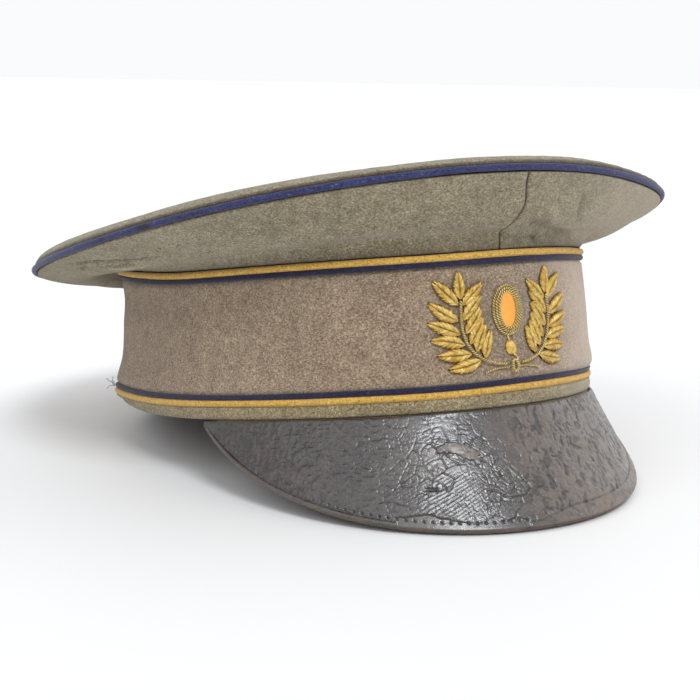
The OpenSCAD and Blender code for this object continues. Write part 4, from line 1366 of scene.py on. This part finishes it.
def build_badge_ropes():
    """The two stems and their feet, and the three rings of rope round the oval."""
    strands = []
    for side in (-1, 1):
        p = branch_at(np.linspace(0.04, 1, 60), side)
        strands.append((resample(front_at(p[:, 0], p[:, 1], 1.15), 0.14), 0.46, 1.7, 0.0))
        k = np.linspace(0, 1, 20)
        foot = front_at(side * mix(1.6, 10.8, k), mix(12.4, 11.2, k) + 0.5 * np.sin(np.pi * k), 0.5)
        strands.append((resample(foot, 0.14), 0.36, 1.3, 0.0))
    join_ropes("badge_stem_ropes", strands, "badge_stems")
    rings = []
    a = np.linspace(0, 2 * np.pi, 160, endpoint=False)
    for row, height in enumerate((0.45, 0.75, 0.9)):
        inset = 0.5 + 0.98 * row
        path = front_at((6 - inset) * np.cos(a), OVAL_Z + (8.5 - inset) * np.sin(a), height)
        rings.append((resample(path, 0.12, True), 0.48, 1.8, row * 0.9))
    join_ropes("badge_oval_ropes", rings, "badge_oval_rope", True)


def build_silk():
    """The oval's middle: padding with silk threads laid across it."""
    q = np.linspace(-1, 1, 13)
    lines = []
    for r in np.linspace(-1, 1, 62)[1:-1]:
        x = q * (3.45 * math.sqrt(1 - r * r))
        lift = 0.25 + 0.85 * np.sqrt(np.clip(1 - r * r - (x / 3.35) ** 2 * 0.999, 0, 1))
        lines.append(front_at(x, OVAL_Z + 6.55 * r, lift))
    thing = tubes("badge_silk_threads", np.array(lines), 0.17, 6, facing=THREADS_FACE)
    finish_piece(thing, "badge_oval_silk")
    a = np.linspace(0, 2 * np.pi, 48, endpoint=False)
    rings = [front_at(3.2 * share * np.cos(a), OVAL_Z + 6.3 * share * np.sin(a), height) for share, height
             in ((1, 0.0), (1, 0.1), (0.85, 0.45), (0.6, 0.68), (0.3, 0.8), (0.05, 0.82))]
    finish_piece(make_mesh("badge_silk_pad", *capped(np.stack(rings, 1))), "badge_oval_silk")


def build_knot():
    """A small upright loop of rope."""
    a = np.linspace(0, 2 * np.pi, 60, endpoint=False)
    path = front_at(1.05 * np.cos(a), 12.8 + 1.9 * np.sin(a), 1.6 + 0.25 * np.cos(2 * a))
    join_ropes("badge_knot_loop", [(resample(path, 0.12, True), 0.5, 1.4, 0.0)], "badge_knot", True)


def build_bud():
    """A short tassel of upright threads on a curved stem."""
    k = np.linspace(0, 1, 7)
    wide = np.interp(k, [0, 0.25, 0.7, 1], [0.45, 1.0, 0.9, 0.35])
    lines = []
    for q in np.linspace(-1, 1, 9):
        x = 0.1 + 1.75 * q * wide + 0.5 * (0.5 - k)
        out = 0.35 + 0.75 * math.sqrt(1 - 0.8 * q * q) * np.sin(np.pi * (0.1 + 0.8 * k))
        lines.append(front_at(x, 16.4 + 4.3 * k, out))
    lines.append(front_at(0.6 + 1.3 * np.sin(np.pi * k), 13.6 + 2.9 * k, 0.9))
    lines.append(front_at(-0.2 - 0.5 * k, 20.6 + 2.0 * k, 0.5))
    thing = tubes("badge_bud_threads", np.array(lines), 0.30, 8, facing=THREADS_FACE)
    finish_piece(thing, "badge_bud")


# ---- Scene: floor, light and camera ----

CAMERA_AZIMUTH = -30.05
CAMERA_ELEVATION = 10.8
CAMERA_ROLL = 1.15
CAMERA_DISTANCE = 0.552
CAMERA_TARGET = Vector((-0.00135, -0.0001, 0.0350))
LENS_MM = 73.5


def add_camera():
    az, el = math.radians(CAMERA_AZIMUTH), math.radians(CAMERA_ELEVATION)
    back = Vector((math.sin(az) * math.cos(el), -math.cos(az) * math.cos(el), math.sin(el)))
    data = bpy.data.cameras.new("camera")
    data.lens = LENS_MM
    data.sensor_width = 36
    data.clip_end = 50
    camera = bpy.data.objects.new("camera", data)
    bpy.context.scene.collection.objects.link(camera)
    turn = back.to_track_quat("Z", "Y").to_matrix().to_4x4()
    turn = turn @ Matrix.Rotation(math.radians(CAMERA_ROLL), 4, "Z")
    camera.matrix_world = Matrix.Translation(CAMERA_TARGET + back * CAMERA_DISTANCE) @ turn
    bpy.context.scene.camera = camera


def add_floor():
    mesh = bpy.data.meshes.new("floor")
    r = 30.0
    mesh.from_pydata([(-r, -r, 0), (r, -r, 0), (r, r, 0), (-r, r, 0)], [], [(0, 1, 2, 3)])
    floor = bpy.data.objects.new("floor", mesh)
    bpy.context.scene.collection.objects.link(floor)
    s = Shader("floor", 0.6)
    s.link("Base Color", s.mix(s.noise(400), (0.93, 0.935, 0.945, 1), (0.95, 0.95, 0.955, 1)))
    mesh.materials.append(s.material)


def add_sun(name, direction, spread, power, colour=(1, 1, 1)):
    """A very soft light from far off, so that the floor is evenly lit to its edges."""
    data = bpy.data.lights.new(name, "SUN")
    data.angle = math.radians(spread)
    data.energy = power
    data.color = colour
    light = bpy.data.objects.new(name, data)
    bpy.context.scene.collection.objects.link(light)
    light.rotation_euler = Vector(direction).to_track_quat("Z", "Y").to_euler()


def add_world():
    """A white sweep behind the cap and at its sides; darker overhead and towards the front."""
    world = bpy.data.worlds.new("world")
    nodes = Nodes(world)
    way = nodes.new("TexCoord").outputs["Generated"]
    towards = {0: way, 1: (0.60, 0.80, 0.0)}
    behind = nodes.new("VectorMath", towards, operation="DOT_PRODUCT").outputs["Value"]
    level = nodes.map(behind, -0.9, 0.4, 0.55, 0.975, interpolation_type="SMOOTHSTEP")
    ceiling = nodes.map(nodes.new("SeparateXYZ", {0: way}).outputs["Z"], 0.3, 0.8, 1.0, 0.52)
    back = nodes.tree.nodes["Background"]
    nodes.tree.links.new(nodes.math("MULTIPLY", level, ceiling), back.inputs["Strength"])
    back.inputs["Color"].default_value = (0.985, 0.99, 1.0, 1)
    bpy.context.scene.world = world


add_camera()
add_floor()
add_world()
add_sun("key_sun", (0.10, -0.30, 0.95), 50, 0.16)
add_sun("visor_sun", (-0.09, -0.64, 0.76), 22, 1.50, (0.94, 0.97, 1.0))
add_sun("right_sun", (0.80, 0.00, 0.60), 50, 0.36)
add_sun("left_sun", (-0.72, -0.22, 0.66), 50, 0.62)
bpy.context.scene.view_settings.view_transform = "Standard"

build_canvas()
build_wire()
build_stay()
build_board()
build_crown_top()
build_crown_side(1)
build_crown_side(-1)
build_pipings()
build_band_cloth()
build_base_strip()
build_loose_threads()
build_stiffener()
build_sweatband()
build_lining_side()
build_lining_top()
build_visor_leather()
build_visor_binding()
build_visor_underside()
build_visor_thread()
build_leaves()
build_badge_ropes()
build_silk()
build_knot()
build_bud()
